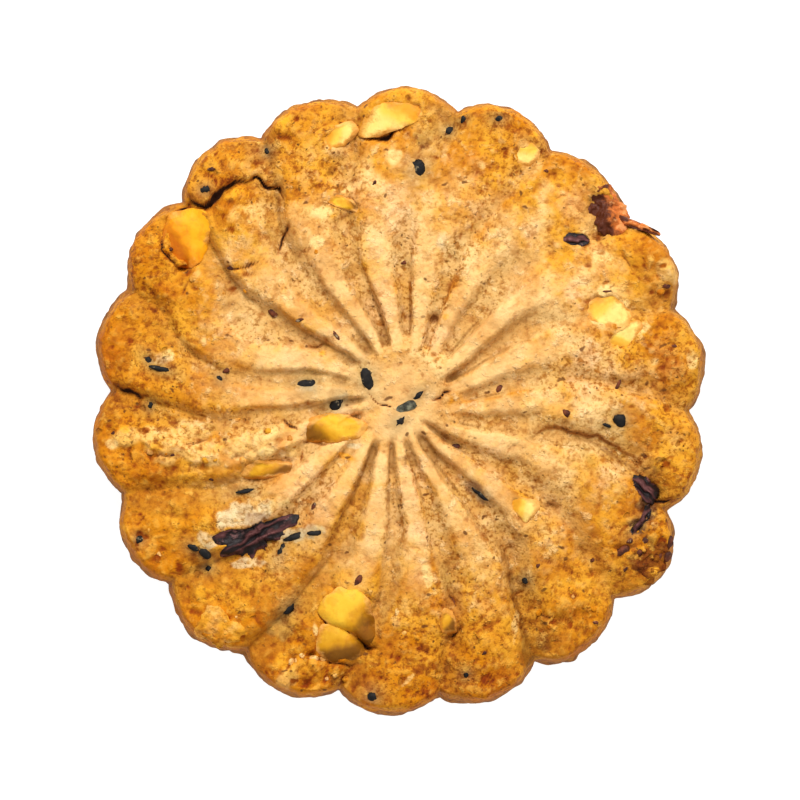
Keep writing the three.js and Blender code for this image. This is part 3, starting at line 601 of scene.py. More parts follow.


# Colours that the baking left, the olive and umber lists partly painted shade in hollows, pits, notches and
# beside pieces: x, y, length, width, turn, amount
tints = {
    "cream": [
        (-21, -4.8, 22, 4.4, -6, 0.4), (-6, 23.6, 3.4, 1.9, 0, 1), (-7.8, 20.9, 4.6, 2, 8, 1),
        (-9.4, 17.7, 2.4, 2.4, 0, 0.8), (-0.6, 27.3, 3.2, 2.2, -30, 0.9), (-3.2, 25.2, 1.8, 1.2, 0, 0.6),
        (-25.8, 5, 3, 2.2, 30, 0.9), (-19.8, -1, 2.2, 1.8, 0, 0.7), (9.4, 26.1, 2.4, 1.6, 0, 0.7),
        (5.4, 17.3, 1.6, 2, 30, 0.6), (16, 21.6, 2.8, 1.6, 0, 0.5), (22.6, 15.9, 4.2, 2.8, -10, 0.8),
        (14.5, 27.2, 4, 3.2, -60, 0.7), (32.5, 4.8, 1.8, 3.6, 10, 0.7), (28.6, 4.4, 1.6, 1.4, 0, 0.5),
        (17.6, 8.8, 2.6, 1.2, 20, 0.5), (3.2, 13.2, 3, 3, 0, 0.5), (-12.2, 11, 3.4, 1.7, -55, 0.7),
        (-18.8, -13.2, 4.6, 2.8, 15, 0.9), (-14.4, -11.8, 6, 2.2, 20, 0.8), (-9.2, -14.4, 2.4, 1.4, 0, 1),
        (-5.4, -5, 3.2, 0.9, -6, 1), (-20.2, -24, 3, 1.8, -20, 1), (-18, -6.4, 4, 1.2, -10, 0.6),
        (-22.5, -4.9, 3, 1.2, -20, 0.6), (-15, -3.6, 5.4, 2.2, 20, 0.7), (-14.4, -5.8, 4.6, 1.6, 10, 0.7),
        (12.8, -4.5, 3.4, 1.2, -12, 0.6), (13, -25.5, 6.4, 1.1, 86, 0.7), (3.2, -19.5, 12, 1.3, 92, 0.7),
        (1.2, -31, 2.4, 0.7, 40, 0.7), (-9.2, -25.4, 1.2, 2.4, 10, 0.9), (23.2, 10.2, 8, 5.6, -25, 1),
        (25.4, 7.4, 5.8, 4, 35, 1), (-31.8, -4.8, 1.6, 1.2, 0, 0.7), (25.3, -18.6, 1.2, 0.8, 0, 0.7),
        (-16.4, 20.4, 7, 5, 20, 0.5),
    ],
    "amber": [
        (-13, 31, 2.2, 3, 0, 1), (-18.2, 23, 3, 1.5, 30, 0.9), (-26.8, 18.2, 3, 5, 0, 0.7),
        (20, 11, 1.4, 1.4, 0, 0.7), (26.6, 10, 1.6, 0.8, 0, 0.6), (15, 29.6, 2.6, 1.3, -20, 0.7),
        (-30.6, -3, 2.8, 1.7, -10, 0.9), (-27, -5.2, 2.8, 1.7, -30, 0.8),
        (-30.2, -14.2, 1.6, 1.6, 0, 0.7), (-22, -21.4, 3, 2.6, 0, 0.9), (-12.6, -29, 3.4, 2.6, 0, 0.8),
        (-2.8, -31, 2.8, 1.8, 0, 0.7), (13, -18.2, 3.4, 4, 0, 0.5), (29.3, -6.7, 2.8, 2.2, 20, 0.9),
        (19.4, -22.4, 5.4, 3.6, 0, 0.6), (14.4, 4.5, 2.6, 1.3, -20, 0.6), (9.2, -20.4, 1.6, 1.1, 0, 0.7),
        (-21, 11.4, 3.2, 1.9, -20, 0.5), (23.9, -22.4, 2.4, 1.1, 20, 0.9), (-15, -7.4, 7, 2.4, 12, 0.6),
        (-1, 32.2, 8.4, 3, 10, 0.7), (-6, -6.2, 2.6, 1, -25, 0.9), (-8.6, 5.2, 1.2, 0.8, 20, 0.9),
        (5.2, 9.2, 1.4, 1, 30, 0.8), (-20, -5, 22, 5, -6, 0.5), (-6.5, 29.4, 6, 3.4, 20, 0.6),
    ],
    "toast": [
        (-32.4, 9.2, 3.4, 2.4, 60, 0.8), (-32.4, -3.6, 7, 2.4, 88, 0.8), (-31, -8, 3, 3, 0, 0.8),
        (-11.6, -31.6, 5.4, 3, 0, 1.1), (-11, -27, 2.4, 2.2, 0, 0.9), (18, -26.7, 3, 2.4, 0, 1),
        (21.4, -24.6, 1.4, 1.4, 0, 1), (28.6, 16, 6, 5.6, 0, 0.9), (31, 1.5, 3.4, 3, 0, 0.8),
        (8, 30, 6.4, 2.2, 0, 0.8), (-17.6, 27.2, 11, 5.4, 24, 0.9), (-18.7, 22.2, 1.6, 1.5, 0, 1.2),
        (-28.2, -15, 4, 5.4, 20, 0.9), (19.6, -22, 6, 4, 0, 0.95), (29.6, -9.2, 3.6, 3, 0, 1),
        (1.6, -33, 4, 2.4, 0, 1), (-24.6, 12, 6, 2.4, -30, 0.7), (-20.6, 7.2, 9, 1.6, -28, 0.8),
        (14, -1, 16, 8, 0, 0.42), (-10, 9, 16, 9, 135, 0.42), (12, -9, 14, 8, -38, 0.42),
        (12, 6, 14, 8, 27, 0.36), (-6, -13, 14, 8, 65, 0.42),
    ],
    # Dark brown crust, and painted shade in pits, notches and beside the nuts.
    "umberAndShade": [
        (-7.2, 25.7, 2.4, 3, 0, 0.7), (9.6, 21, 1.8, 2.6, 0, 0.6), (-27, 11.6, 1.8, 1.4, -20, 0.6),
        (5.4, -30, 1.7, 4, 0, 0.8), (16, -27, 2.4, 3, 0, 0.7), (27.4, -17.6, 6, 5, 60, 1.1),
        (22.2, 21.6, 3.4, 3, -45, 1), (25.6, 19.6, 5, 1.2, -25, 0.9), (0.8, -6.8, 1.2, 2.6, 10, 0.7),
        (-20.4, -25.9, 2.2, 1.3, 30, 1), (-7, -31, 3.6, 2.6, 0, 0.5), (4.1, 9, 1.7, 1.7, 0, 0.8),
        (16.6, -11.6, 2.2, 1.2, 0, 0.6), (27.8, -12.4, 2.8, 5, 20, 1.1), (26.5, -14, 3.4, 2.4, 50, 1.1),
        (3, 28.6, 2.6, 2.2, 0, 0.5), (-2.1, -25.8, 0.9, 3.4, 5, 0.7), (-18.7, 22.1, 1.2, 1, 0, 0.7),
    ],
    # Olive tint, with painted shade in hollows and below raised brinks.
    "oliveAndShade": [
        (-13, -25.5, 3.8, 3.2, 0, 0.8), (3, 29.5, 2.8, 3.2, 0, 0.7), (12.4, -17.5, 2.8, 3.4, 0, 0.8),
        (20.5, -5.6, 10, 2.6, -22, 0.8), (-21, -2.9, 8.4, 2.6, -12, 0.7), (6.2, 6.2, 2.6, 3.4, -40, 0.7),
        (6.8, 2.4, 3.4, 1.1, 10, 0.7), (-1.6, -23.6, 1.6, 5, 0, 0.5), (5.2, -20, 1.8, 6, 8, 0.6),
    ],
    "ash": [
        (-17, -12.5, 9, 3.2, 20, 1.1), (-20.7, -16.2, 4.8, 3, -25, 1), (-17.4, -18.2, 5, 1.8, 8, 0.9),
        (-10.8, -14.6, 6, 2.6, 16, 1), (-5.2, -5, 3.6, 1, -6, 0.9), (-10.1, 1.5, 3.4, 2.8, 0, 0.8),
        (-6.6, -0.4, 3.6, 2.4, 60, 0.6), (-26.4, 4.6, 3.4, 2.6, 0, 0.7), (-9.6, -15.2, 4, 1.8, 10, 0.9),
        (-13.6, 9.2, 2, 1.6, 0, 0.5), (4.9, 18, 2, 4.4, -6, 0.6), (-2.6, -14, 1.4, 4, 0, 0.4),
    ],
    "plum": [
        (-16, -13, 2.8, 1.8, -20, 0.9), (-16.2, -14.8, 11, 5.4, 22, 0.5), (8.6, -10, 4.4, 2, -40, 0.9),
        (-21.6, -17.4, 3.4, 2, -20, 0.5), (-14.6, -17.6, 4, 1.6, 20, 0.4), (-4.5, 12, 1.7, 1.1, 0, 0.8),
        (1, 9.3, 1.4, 0.9, 0, 0.7), (23.6, 22, 2.4, 2.8, -40, 0.4),
    ],
}

# Sesame seeds and chips of bran and fruit skin: x, y, length, width, turn
sprinkles = {
    "black": [
        (-3.5, 2.4, 3, 1.5, 105), (2.2, 0.5, 2.3, 0.9, 35), (0, -2.4, 1.6, 1.1, 50),
        (-6.8, -0.3, 2.8, 1.5, 63), (-10.1, 1.6, 2, 1.6, -10), (2.2, 25.6, 2.3, 1.9, 65),
        (5.5, 30, 1.2, 0.9, 0), (7.2, 31.2, 0.8, 0.6, 60), (11.1, 31.3, 1.4, 0.9, 15),
        (-21.5, 23.4, 1.1, 0.9, 20), (-14.6, 27.7, 0.8, 0.7, 0), (-27.7, 4.3, 2, 0.8, -55),
        (-26.2, 3.4, 2.6, 0.75, -14), (-27.6, -0.6, 0.8, 0.6, 60), (24.7, -2.2, 1.7, 1.4, 110),
        (23.1, -2.8, 0.9, 0.4, -20), (-13.1, -16.8, 2.2, 0.8, 62), (-11.4, -15.2, 2.6, 0.7, 12),
        (-9.4, -14.8, 1.8, 0.6, 6), (-22.7, -16.4, 1.5, 0.8, -22), (-21.6, -16.9, 1.7, 0.8, -40),
        (-12.3, -23.2, 1.7, 1.1, 60), (-2.8, -33, 1.5, 1.2, 70), (7.5, -30.4, 0.9, 0.7, 80),
        (14.2, -20, 1, 0.9, 40), (-16.7, -10.1, 2.2, 0.5, 6), (-19.9, 2.4, 0.9, 0.6, -45),
        (9.4, -10.6, 1.5, 0.7, -35), (8.5, -10, 0.9, 0.4, -50), (-28.9, -15.5, 0.9, 0.8, 0),
        (-21.1, -18.7, 0.8, 0.6, 0), (26.6, -13.9, 2.2, 0.8, 48), (27.6, -12.2, 1.4, 0.6, -75),
    ],
    "grey": [(0.7, -0.9, 2.6, 1.2, 20)],
    "brown": [
        (11.3, 1.2, 1.9, 1.1, 45), (18.6, -1.4, 1.4, 0.8, -40), (-4.4, -20, 1.9, 0.8, 55),
        (29.6, 12.7, 0.9, 0.5, 0), (30.7, 6, 1.3, 0.4, -8), (-20.8, 25.7, 0.8, 0.4, 10),
        (-19.2, 3.3, 0.8, 0.6, 30), (-13.9, 9.8, 1.2, 0.9, -35), (24.2, 1.3, 1.8, 0.35, 62),
        (-25.4, 16.8, 0.5, 0.4, 0), (-31.7, -3.7, 0.6, 0.5, 0), (-25, -6.1, 0.7, 0.4, 20),
        (-20.8, -8.8, 0.6, 0.4, 0), (-10.9, 8.9, 1, 0.4, 15), (-9.4, -11.9, 0.9, 0.6, 45),
        (6.3, -5.2, 1.2, 0.6, 20), (-2.7, 24.1, 0.6, 0.4, 60), (0.6, 15.3, 0.6, 0.4, 20),
        (21.8, -24.7, 0.8, 0.5, 0), (21.6, -17.8, 0.6, 0.4, 30), (15.5, -18.4, 0.7, 0.4, 60),
        (16.4, 25.5, 0.6, 0.4, 0), (9.5, -28.1, 0.7, 0.4, 40), (-6.9, 7.2, 1.5, 0.4, -52),
        (-18.5, 14.7, 1, 0.5, 0), (23.2, 12.1, 0.9, 0.25, 0), (6.2, -22.3, 2.2, 0.35, -68),
        (24.9, -16.8, 1.7, 0.9, 30), (29, -17.4, 1.3, 0.7, 60), (25.6, -15.6, 0.9, 0.6, 10),
        (30.2, -15.8, 1.6, 0.8, 80), (29.9, -17.4, 1.4, 0.8, 70), (27.4, -15.6, 1.3, 0.8, 10),
        (25.2, -18.8, 1.2, 0.7, 40), (26.6, -16.8, 1, 0.7, -30),
    ],
}
sprinkleForm = {
    "height": 0.8,
    "flat": 0.75,  # height at most, as a share of the width
    "proud": 0.15,
    "show": 0.4,  # share of the height that stands proud at most
    "dents": 0.36,
    "halo": 1.4,  # of the stain round a seed, as a share of the seed
    "margin": 0.6,  # and that much more all round
    "rows": 7,
    "sides": 9,
}


# Blur on the face's grid: a running mean over a square of steps, done along each side in turn.
def gridBlur(values, steps):
    for axis in (0, 1):
        pad = [(steps + 1, steps) if i == axis else (0, 0) for i in (0, 1)]
        total = np.cumsum(np.pad(values, pad, mode="edge"), axis=axis)
        count = values.shape[axis]
        upper = np.take(total, np.arange(count) + 2 * steps + 1, axis=axis)
        values = (upper - np.take(total, np.arange(count), axis=axis)) / (2 * steps + 1)
    return values


# Rows below the face, as reach beyond its rim and height: over the edge, down the wall, under the foot.
def wallRows(rimHeight):
    roll = np.linspace(0, np.pi / 2, 6)[1:]
    wall = dough["edgeRound"] - dough["draft"]
    rows = [(wall * np.sin(a), rimHeight - dough["edgeFall"] * (1 - np.cos(a))) for a in roll]
    low = rimHeight - dough["edgeFall"]
    for step in np.linspace(0, 1, 7)[1:]:
        rows.append((blendOf(wall, dough["edgeRound"], step), blendOf(low, dough["footRound"], step)))
    for turn in np.linspace(0, np.pi / 2, 4)[1:]:
        inward, height = dough["footRound"] * (1 - np.cos(turn)), dough["footRound"] * (1 - np.sin(turn))
        rows.append((dough["edgeRound"] - inward, height + 0 * rimHeight))
    return rows


# The dough: the face's grid, then rows down the wall, and the base closed at its middle.
def makeDough(finish):
    ring, turn = facePlan()
    x, y = planPoint(ring, turn)
    z = faceHeight(x, y)
    count = dough["gridSteps"] + 1
    index = np.arange(count * count).reshape(count, count)
    faces = [np.stack([index[:-1, :-1], index[1:, :-1], index[1:, 1:], index[:-1, 1:]], -1).reshape(-1, 4)]
    rim = np.concatenate([index[:-1, 0], index[-1, :-1], index[:0:-1, -1], index[0, :0:-1]])
    rimTurn, edge = turn.ravel()[rim], np.ones(len(rim))
    points = [np.stack([x, y, z], -1).reshape(-1, 3)]
    rows = wallRows(z.ravel()[rim])
    for number, (out, height) in enumerate(rows):
        folds = np.abs(crumbNoise(tipRadius * rimTurn, height + 7.0, 2.4, 3, 53)) - 0.9
        crust = dough["wallCrust"] * folds
        weight = min(1.0, (number + 1) / 3, (len(rows) - 1 - number) / 2)
        points.append(np.stack([*planPoint(edge, rimTurn, out + crust * weight), height], -1))
    for step in (0.93, 0.75, 0.5, 0.25):
        base = np.array(planPoint(edge, rimTurn, rows[-1][0])) * step
        points.append(np.stack([*base, dough["baseHollow"] * (1 - step) ** 0.5 * edge], -1))
    starts = np.cumsum([0] + [len(row) for row in points])
    loops = [rim] + [start + np.arange(len(rim)) for start in starts[1:-1]]
    for upper, lower in zip(loops[:-1], loops[1:]):
        faces.append(np.stack([upper, lower, np.roll(lower, -1), np.roll(upper, -1)], -1))
    faces.append(np.stack([loops[-1], np.full(len(rim), starts[-1]), np.roll(loops[-1], -1)], -1))
    points = np.concatenate(points + [[[0, 0, dough["baseHollow"]]]])
    makePiece("biscuitDough", points, faces, finish, doughFields(points, z), ("dough",))


# Colour fields of the dough's points. Toast rises to the rim, and the colour darkens towards the lower
# left.
# Seams are bells at the foot of each flute near the middle, and outside they follow the depth of the
# grooves;
# with the hollows they carry painted shade. Crests are the backs of the ridges, given a painted highlight.
# The relief field compares each height with its blur, for painted highlight and shade on the crumb. Side
# and foot darken the wall downwards, partly browning, partly painted shade.
def doughFields(points, z):
    x, y, height = points.T
    share, phase = petalPlace(x, y)[::2]
    across, radius = np.abs(phase), share * meanRadius
    fray = 0.45 * crumbNoise(x, y, 1.6, 3, 61)
    fields = {name: spotField(x, y, spots, 0.2, fray) for name, spots in tints.items()}
    onFace = np.arange(len(points)) < z.size
    rim = smoothRise(share + 0.07 * crumbNoise(x, y, 5.0, 2, 67), 0.45, 1.05)
    tilt = -0.003 * (x + y) + 0.004 * np.maximum(0, -x - y)  # darker at lower left
    fields["slab"] = spotField(x, y, [(*slab[:5], 1.0) for slab in relief["slabs"]], 0.6, 0.8 * fray)
    fields["toast"] = np.maximum(fields["toast"], 0.18 + 0.65 * rim) + tilt - 0.3 * fields["slab"]
    # Hollow: the flutes' depth, for painted shade in their hollows.
    fields["hollow"] = fluteDepth(x, y) / dough["fluteDepth"] * smoothRise(height, 3.0, 6.0)
    # Seam: painted shade at the foot of each flute near the middle and along the grooves outside, stronger
    # below the steep flank.
    steep = np.where(phase > 0, 1.0, 0.45)
    outer = smoothRise(share, *dough["ridgeToPetal"])
    foot = 0.85 * steep * np.exp(-(((across - 0.74) / 0.14) ** 2)) * (1 - smoothRise(radius, 9.0, 17.0))
    inner = np.maximum(foot, 0.9 * (1 - smoothRise(radius, 6.0, 10.5)))
    groove = 0.9 * steep * smoothRise(fields["hollow"], 0.6, 1.3)
    fields["seamShade"] = blendOf(inner * fields["hollow"], groove, outer)
    # Crest: painted highlight along the backs of the ridges and over the plain middle.
    ridge = (1 - smoothRise(across, 0.25, 0.6)) * (1 - smoothRise(share, 0.4, 0.75))
    middle = 1.1 * (1 - smoothRise(radius, 3.5, 6.0))
    fields["crestHighlight"] = np.maximum(ridge * fluteStart(share), middle)
    depths, crackShades = crackFields(x, y)[:2]
    # Relief: height less its blur, for painted highlight on raised crumb and painted shade in its dips.
    level = z + (pocketDepth(x, y) + depths - bakedHeight(x, y))[onFace].reshape(z.shape)
    fields["relief"] = np.zeros(len(points))
    fields["relief"][onFace] = np.clip((level - gridBlur(level, 3)) / 0.16, -1, 1).ravel()
    fields["crackShade"] = crackShades * onFace
    # Side: the wall darkens towards the floor, partly browning and partly painted shade.
    fields["side"] = 1 - smoothRise(height + 0.5 * crumbNoise(x, y, 3.0, 2, 77), 2.6, 5.2)
    halo = np.zeros(len(points))
    for seedX, seedY, length, width, turn in sprinkles["black"]:
        size = length + sprinkleForm["margin"], width + sprinkleForm["margin"]
        near = ovalShare(x, y, (seedX, seedY), *size, turn)
        halo = np.maximum(halo, np.exp(-((near / sprinkleForm["halo"]) ** 2)))
    fields["smudge"] = halo * onFace
    # Foot: darker still near the floor, partly browning and partly painted shade.
    fields["foot"] = 1 - smoothRise(height + 0.4 * crumbNoise(x + height, y, 2.0, 2, 81), 0.6, 2.8)
    return fields


# Stained patches of the dough, lowest first, olive and umber partly painted shade: strength, size of their
# ragged edge, colour
stains = {
    "oliveAndShade": (0.55, 2.0, (182, 144, 74)),
    "amber": (0.8, 1.4, (238, 166, 38)),
    "cream": (0.75, 1.2, (252, 214, 138)),
    "ash": (0.7, 1.4, (226, 205, 162)),
    "umberAndShade": (0.95, 1.4, (118, 58, 10)),
    "plum": (0.6, 1.4, (136, 84, 70)),
}


# Baked dough: tan crumb toasted golden, with stained patches, bran and pores, painted shade in its hollows,
# seams, cracks and down its wall, and painted highlights on crests and raised crumb.
def doughFinish():
    finish, wire = newFinish("bakedDough")
    toast = wire.field("toast") + 1.1 * (wire.cloud(5.0, 3.0, 0.55) - 0.5)
    toast = toast + wire.cloud(1.7, 3.0, 0.55) - 0.5
    colour = toast.rise(0.0, 0.55).mix(paint(242, 196, 126), paint(224, 156, 40))
    colour = toast.rise(0.5, 1.05).mix(colour, paint(202, 122, 2))
    golden = wire.cloud(2.4, 4.0, 0.6).rise(0.52, 0.68)
    colour = (0.4 * golden).mix(colour, paint(226, 152, 40))
    blush = wire.cloud(3.6, 4.0, 0.6).rise(0.5, 0.66) * (1 - wire.field("toast").rise(0.3, 0.8))
    colour = (0.5 * blush).mix(colour, paint(248, 200, 150))
    mottle = wire.cloud(3.0, 4.0, 0.6)
    colour = (0.75 * (1 - mottle.rise(0.36, 0.54))).mix(colour, paint(224, 194, 140), "MULTIPLY")
    scorch = wire.field("toast").rise(0.4, 0.9) * wire.cloud(1.9, 4.0, 0.6).rise(0.54, 0.68)
    colour = (0.4 * scorch).mix(colour, paint(154, 88, 4))
    # Painted highlight on the crests.
    colour = (0.35 * wire.field("crestHighlight")).mix(colour, paint(247, 198, 132))
    baked = wire.field("toast").rise(0.2, 0.8)
    # Painted shade in the flutes' hollows, olive-beige to brown.
    hollow = wire.field("hollow") + 0.6 * (wire.cloud(1.0, 4.0, 0.65) - 0.5)
    colour = (0.55 * hollow.rise(0.2, 0.7)).mix(colour, baked.mix(paint(200, 156, 90), paint(180, 116, 28)))
    # Painted shade along the seams.
    seamShade = wire.field("seamShade") + 0.5 * (wire.cloud(1.0, 4.0, 0.65) - 0.5)
    colour = (0.7 * seamShade.rise(0.25, 0.85)).mix(colour, baked.mix(paint(146, 98, 42), paint(128, 76, 12)))
    colour = (0.5 * wire.field("slab")).mix(colour, paint(246, 196, 108))
    for name, (strength, size, shade) in stains.items():
        colour = (strength * wire.patch(name, size)).mix(colour, paint(*shade))
    colour = (0.55 * wire.field("smudge")).mix(colour, paint(132, 118, 84))
    # Roughness of the dark grain, less on the highlighted crests.
    rough = (0.45 + 0.55 * wire.cloud(6.0, 3.0, 0.6).rise(0.4, 0.6)) * (1 - 0.7 * wire.field("crestHighlight"))
    flakes = wire.cloud(0.9, 4.0, 0.65).rise(0.56, 0.7)
    # Pale colour: of the pale flakes, and of the painted highlight on raised crumb.
    light = wire.field("toast").rise(0.25, 0.8).mix(paint(254, 214, 152), paint(244, 182, 72))
    colour = (0.5 * flakes).mix(colour, light)
    grain = wire.cloud(0.6, 4.0, 0.65)
    colour = (rough * (1 - grain.rise(0.34, 0.52))).mix(colour, paint(198, 164, 108), "MULTIPLY")
    fine = wire.cloud(0.26, 3.0, 0.6)
    colour = (rough * (1 - fine.rise(0.36, 0.5))).mix(colour, paint(200, 180, 144), "MULTIPLY")
    # Painted highlight on raised crumb and painted shade in its dips.
    reliefLightAndShade = wire.field("relief")
    colour = (0.45 * reliefLightAndShade.rise(0.0, 1.0)).mix(colour, light)
    colour = (0 - reliefLightAndShade).rise(0.05, 0.9).mix(colour, paint(178, 126, 56), "MULTIPLY")
    pits = wire.flecks(1.9, 0.5, 0.3) * wire.field("toast").rise(0.35, 0.8)
    colour = (0.5 * pits).mix(colour, paint(116, 60, 8))
    bran = wire.flecks(2.2, 0.42, 0.28, (1.0, 1.6, 1.0))
    colour = (0.85 * bran).mix(colour, paint(96, 52, 20))
    dust = wire.flecks(0.75, 0.17, 0.36)
    colour = (0.9 * rough * dust).mix(colour, paint(104, 62, 24))
    # Painted shade in cracks and gaps: reddish brown at their edges and near black deep in.
    crackShade = wire.field("crackShade") + 0.7 * (wire.cloud(0.5, 4.0, 0.7) - 0.5)
    colour = (0.7 * crackShade.rise(0.2, 0.5)).mix(colour, paint(150, 78, 14))
    colour = crackShade.rise(0.42, 0.75).mix(colour, paint(42, 18, 6))
    crust = grain.rise(0.3, 0.6)
    # The wall browner and darker downwards: partly baking, partly painted shade.
    colour = (0.7 * wire.field("side")).mix(colour, crust.mix(paint(104, 62, 22), paint(164, 102, 36)))
    colour = (0.55 * wire.field("foot")).mix(colour, crust.mix(paint(84, 52, 28), paint(140, 90, 44)))
    height = 0.3 * wire.cloud(0.7, 4.0, 0.65) + 0.07 * fine + 0.1 * flakes
    look = {"Base Color": colour, "Roughness": 0.65 + 0.3 * grain, "Specular IOR Level": 0.14}
    endFinish(wire, look, height - 0.06 * dust - 0.15 * pits)
    return finish


# Nut flesh: pale to deep along the piece's tone, which is partly the flesh's own colour and partly painted
# shade on the side that falls away, clouded and streaked. Towards the brink it is caught up in crumb of the
# dough's colour, with a ragged edge.
def nutFinish(name, pale, middle, deep):
    finish, wire = newFinish(name)
    streak = wire.cloud(0.9, 3.0, 0.6, (1.0, 0.3, 1.0))
    toneAndShade = wire.field("toneAndShade") + 0.7 * (wire.cloud(2.2, 3.0, 0.55) - 0.5) + 0.5 * (streak - 0.5)
    colour = toneAndShade.rise(0.0, 0.5).mix(pale, middle)
    colour = toneAndShade.rise(0.45, 1.0).mix(colour, deep)
    colour = (0.3 * wire.cloud(1.8, 4.0, 0.6).rise(0.54, 0.64)).mix(colour, paint(200, 122, 24))
    edge = wire.field("brink") + 1.2 * (wire.cloud(1.3, 4.0, 0.6) - 0.5)
    crust = wire.cloud(1.7, 4.0, 0.6).rise(0.4, 0.62).mix(paint(202, 126, 30), paint(232, 170, 88))
    colour = (0.85 * edge.rise(0.66, 0.96)).mix(colour, crust)
    colour = (0.5 * wire.flecks(1.6, 0.16, 0.2)).mix(colour, paint(140, 80, 20))
    grain = wire.cloud(0.6, 4.0, 0.65)
    colour = (0.3 * (1 - grain.rise(0.34, 0.52))).mix(colour, paint(206, 160, 84), "MULTIPLY")
    look = {"Base Color": colour, "Roughness": 0.42 + 0.3 * grain, "Specular IOR Level": 0.22}
    endFinish(wire, look, 0.08 * streak + (0.04 + 0.2 * edge.rise(0.66, 0.96)) * grain)
    return finish


# Fruit skin: dark in the folds and lighter on their crests, painted shade and highlight over mottled
# colour, half glossy.
def skinFinish(name, dark, middle, light, mottle=0.9):
    finish, wire = newFinish(name)
    foldLightAndShade = wire.field("toneAndShade") + mottle * (wire.cloud(0.7, 4.0, 0.65) - 0.5)
    colour = foldLightAndShade.rise(0.3, 1.0).mix(dark, middle)
    colour = (0.6 * foldLightAndShade.rise(0.9, 1.2)).mix(colour, light)
    # Light spots: partly crumb dust, partly painted highlights.
    colour = (0.5 * wire.cloud(0.8, 4.0, 0.65).rise(0.58, 0.68)).mix(colour, light)
    look = {"Base Color": colour, "Roughness": 0.45 + 0.3 * foldLightAndShade.rise(0, 1), "Specular IOR Level": 0.25}
    endFinish(wire, look, 0.2 * wire.cloud(0.6, 5.0, 0.7))
    return finish


# Shreds with no solid of their own, fused to the dough: a torn flake of crust and bits of fruit.
shreds = {
    "tornFlake": {"proud": 0.45, "brim": -0.25, "ragged": 0.14, "rough": 0.2, "deep": 240, "flesh": "crumb",
        "corners": [
        (-22.4, -25.6), (-22, -24.4), (-21, -23.4), (-20, -23), (-19.2, -23.6), (-18.8, -24.6),
        (-16.8, -25), (-15.8, -25.6), (-17, -26), (-18, -26.8), (-19.2, -27), (-20, -27.6), (-20.4, -27),
        (-21.8, -26.4)]},
    "brokenSkin": {"proud": 0.35, "brim": 0.2, "ragged": 0.12, "rough": 0.5, "deep": 10, "flesh": "russet",
        "corners": [
        (20.5, 23.2), (22, 23.8), (23.6, 23.4), (25, 21.5), (25.8, 18.9), (24.6, 18.6), (23, 18.4),
        (22, 19.3), (20.9, 21.2)]},
    "skinSliver": {"proud": 0.3, "brim": -0.2, "ragged": 0.1, "rough": 0.2, "grain": -25, "flesh": "russet",
        "corners": [
        (24.4, 20.8), (26, 20), (27.6, 19.5), (28.8, 18.7), (28.6, 18.2), (27.4, 18.8), (26, 19.2),
        (24.5, 20)]},
    "bakedFruit": {"proud": 0.15, "brim": 0.15, "ragged": 0.16, "rough": 0.5, "toast": 1.0, "umberAndShade": 0.8,
        "cream": 0.1, "deep": 150, "flesh": "crumb", "corners": [
        (24.4, -17.2), (25.6, -15.8), (27.4, -15.4), (29.2, -16.2), (30, -17.6), (29, -19.4),
        (27.2, -20.2), (25.4, -19.6), (24.2, -18.6)]},
    "fruitScrap": {"proud": 0.45, "brim": 0.1, "ragged": 0.2, "rough": 0.4, "toast": 1.0, "umberAndShade": 1.0,
        "grain": 40, "flesh": "crumb", "corners": [
        (26, -17.4), (26.8, -16.4), (28.2, -16.2), (29, -17), (28.4, -18), (27, -18.4)]},
    "darkFruit": {"proud": 0.5, "brim": 0.0, "ragged": 0.2, "rough": 0.4, "grain": 48, "flesh": "raisin",
        "corners": [
        (25.6, -14.9), (25.8, -14.2), (26.6, -13.6), (27.2, -12.6), (27.4, -11.9), (28.1, -11.9),
        (28, -12.8), (27.6, -13.6), (26.8, -14.4), (26.2, -14.9)]},
}


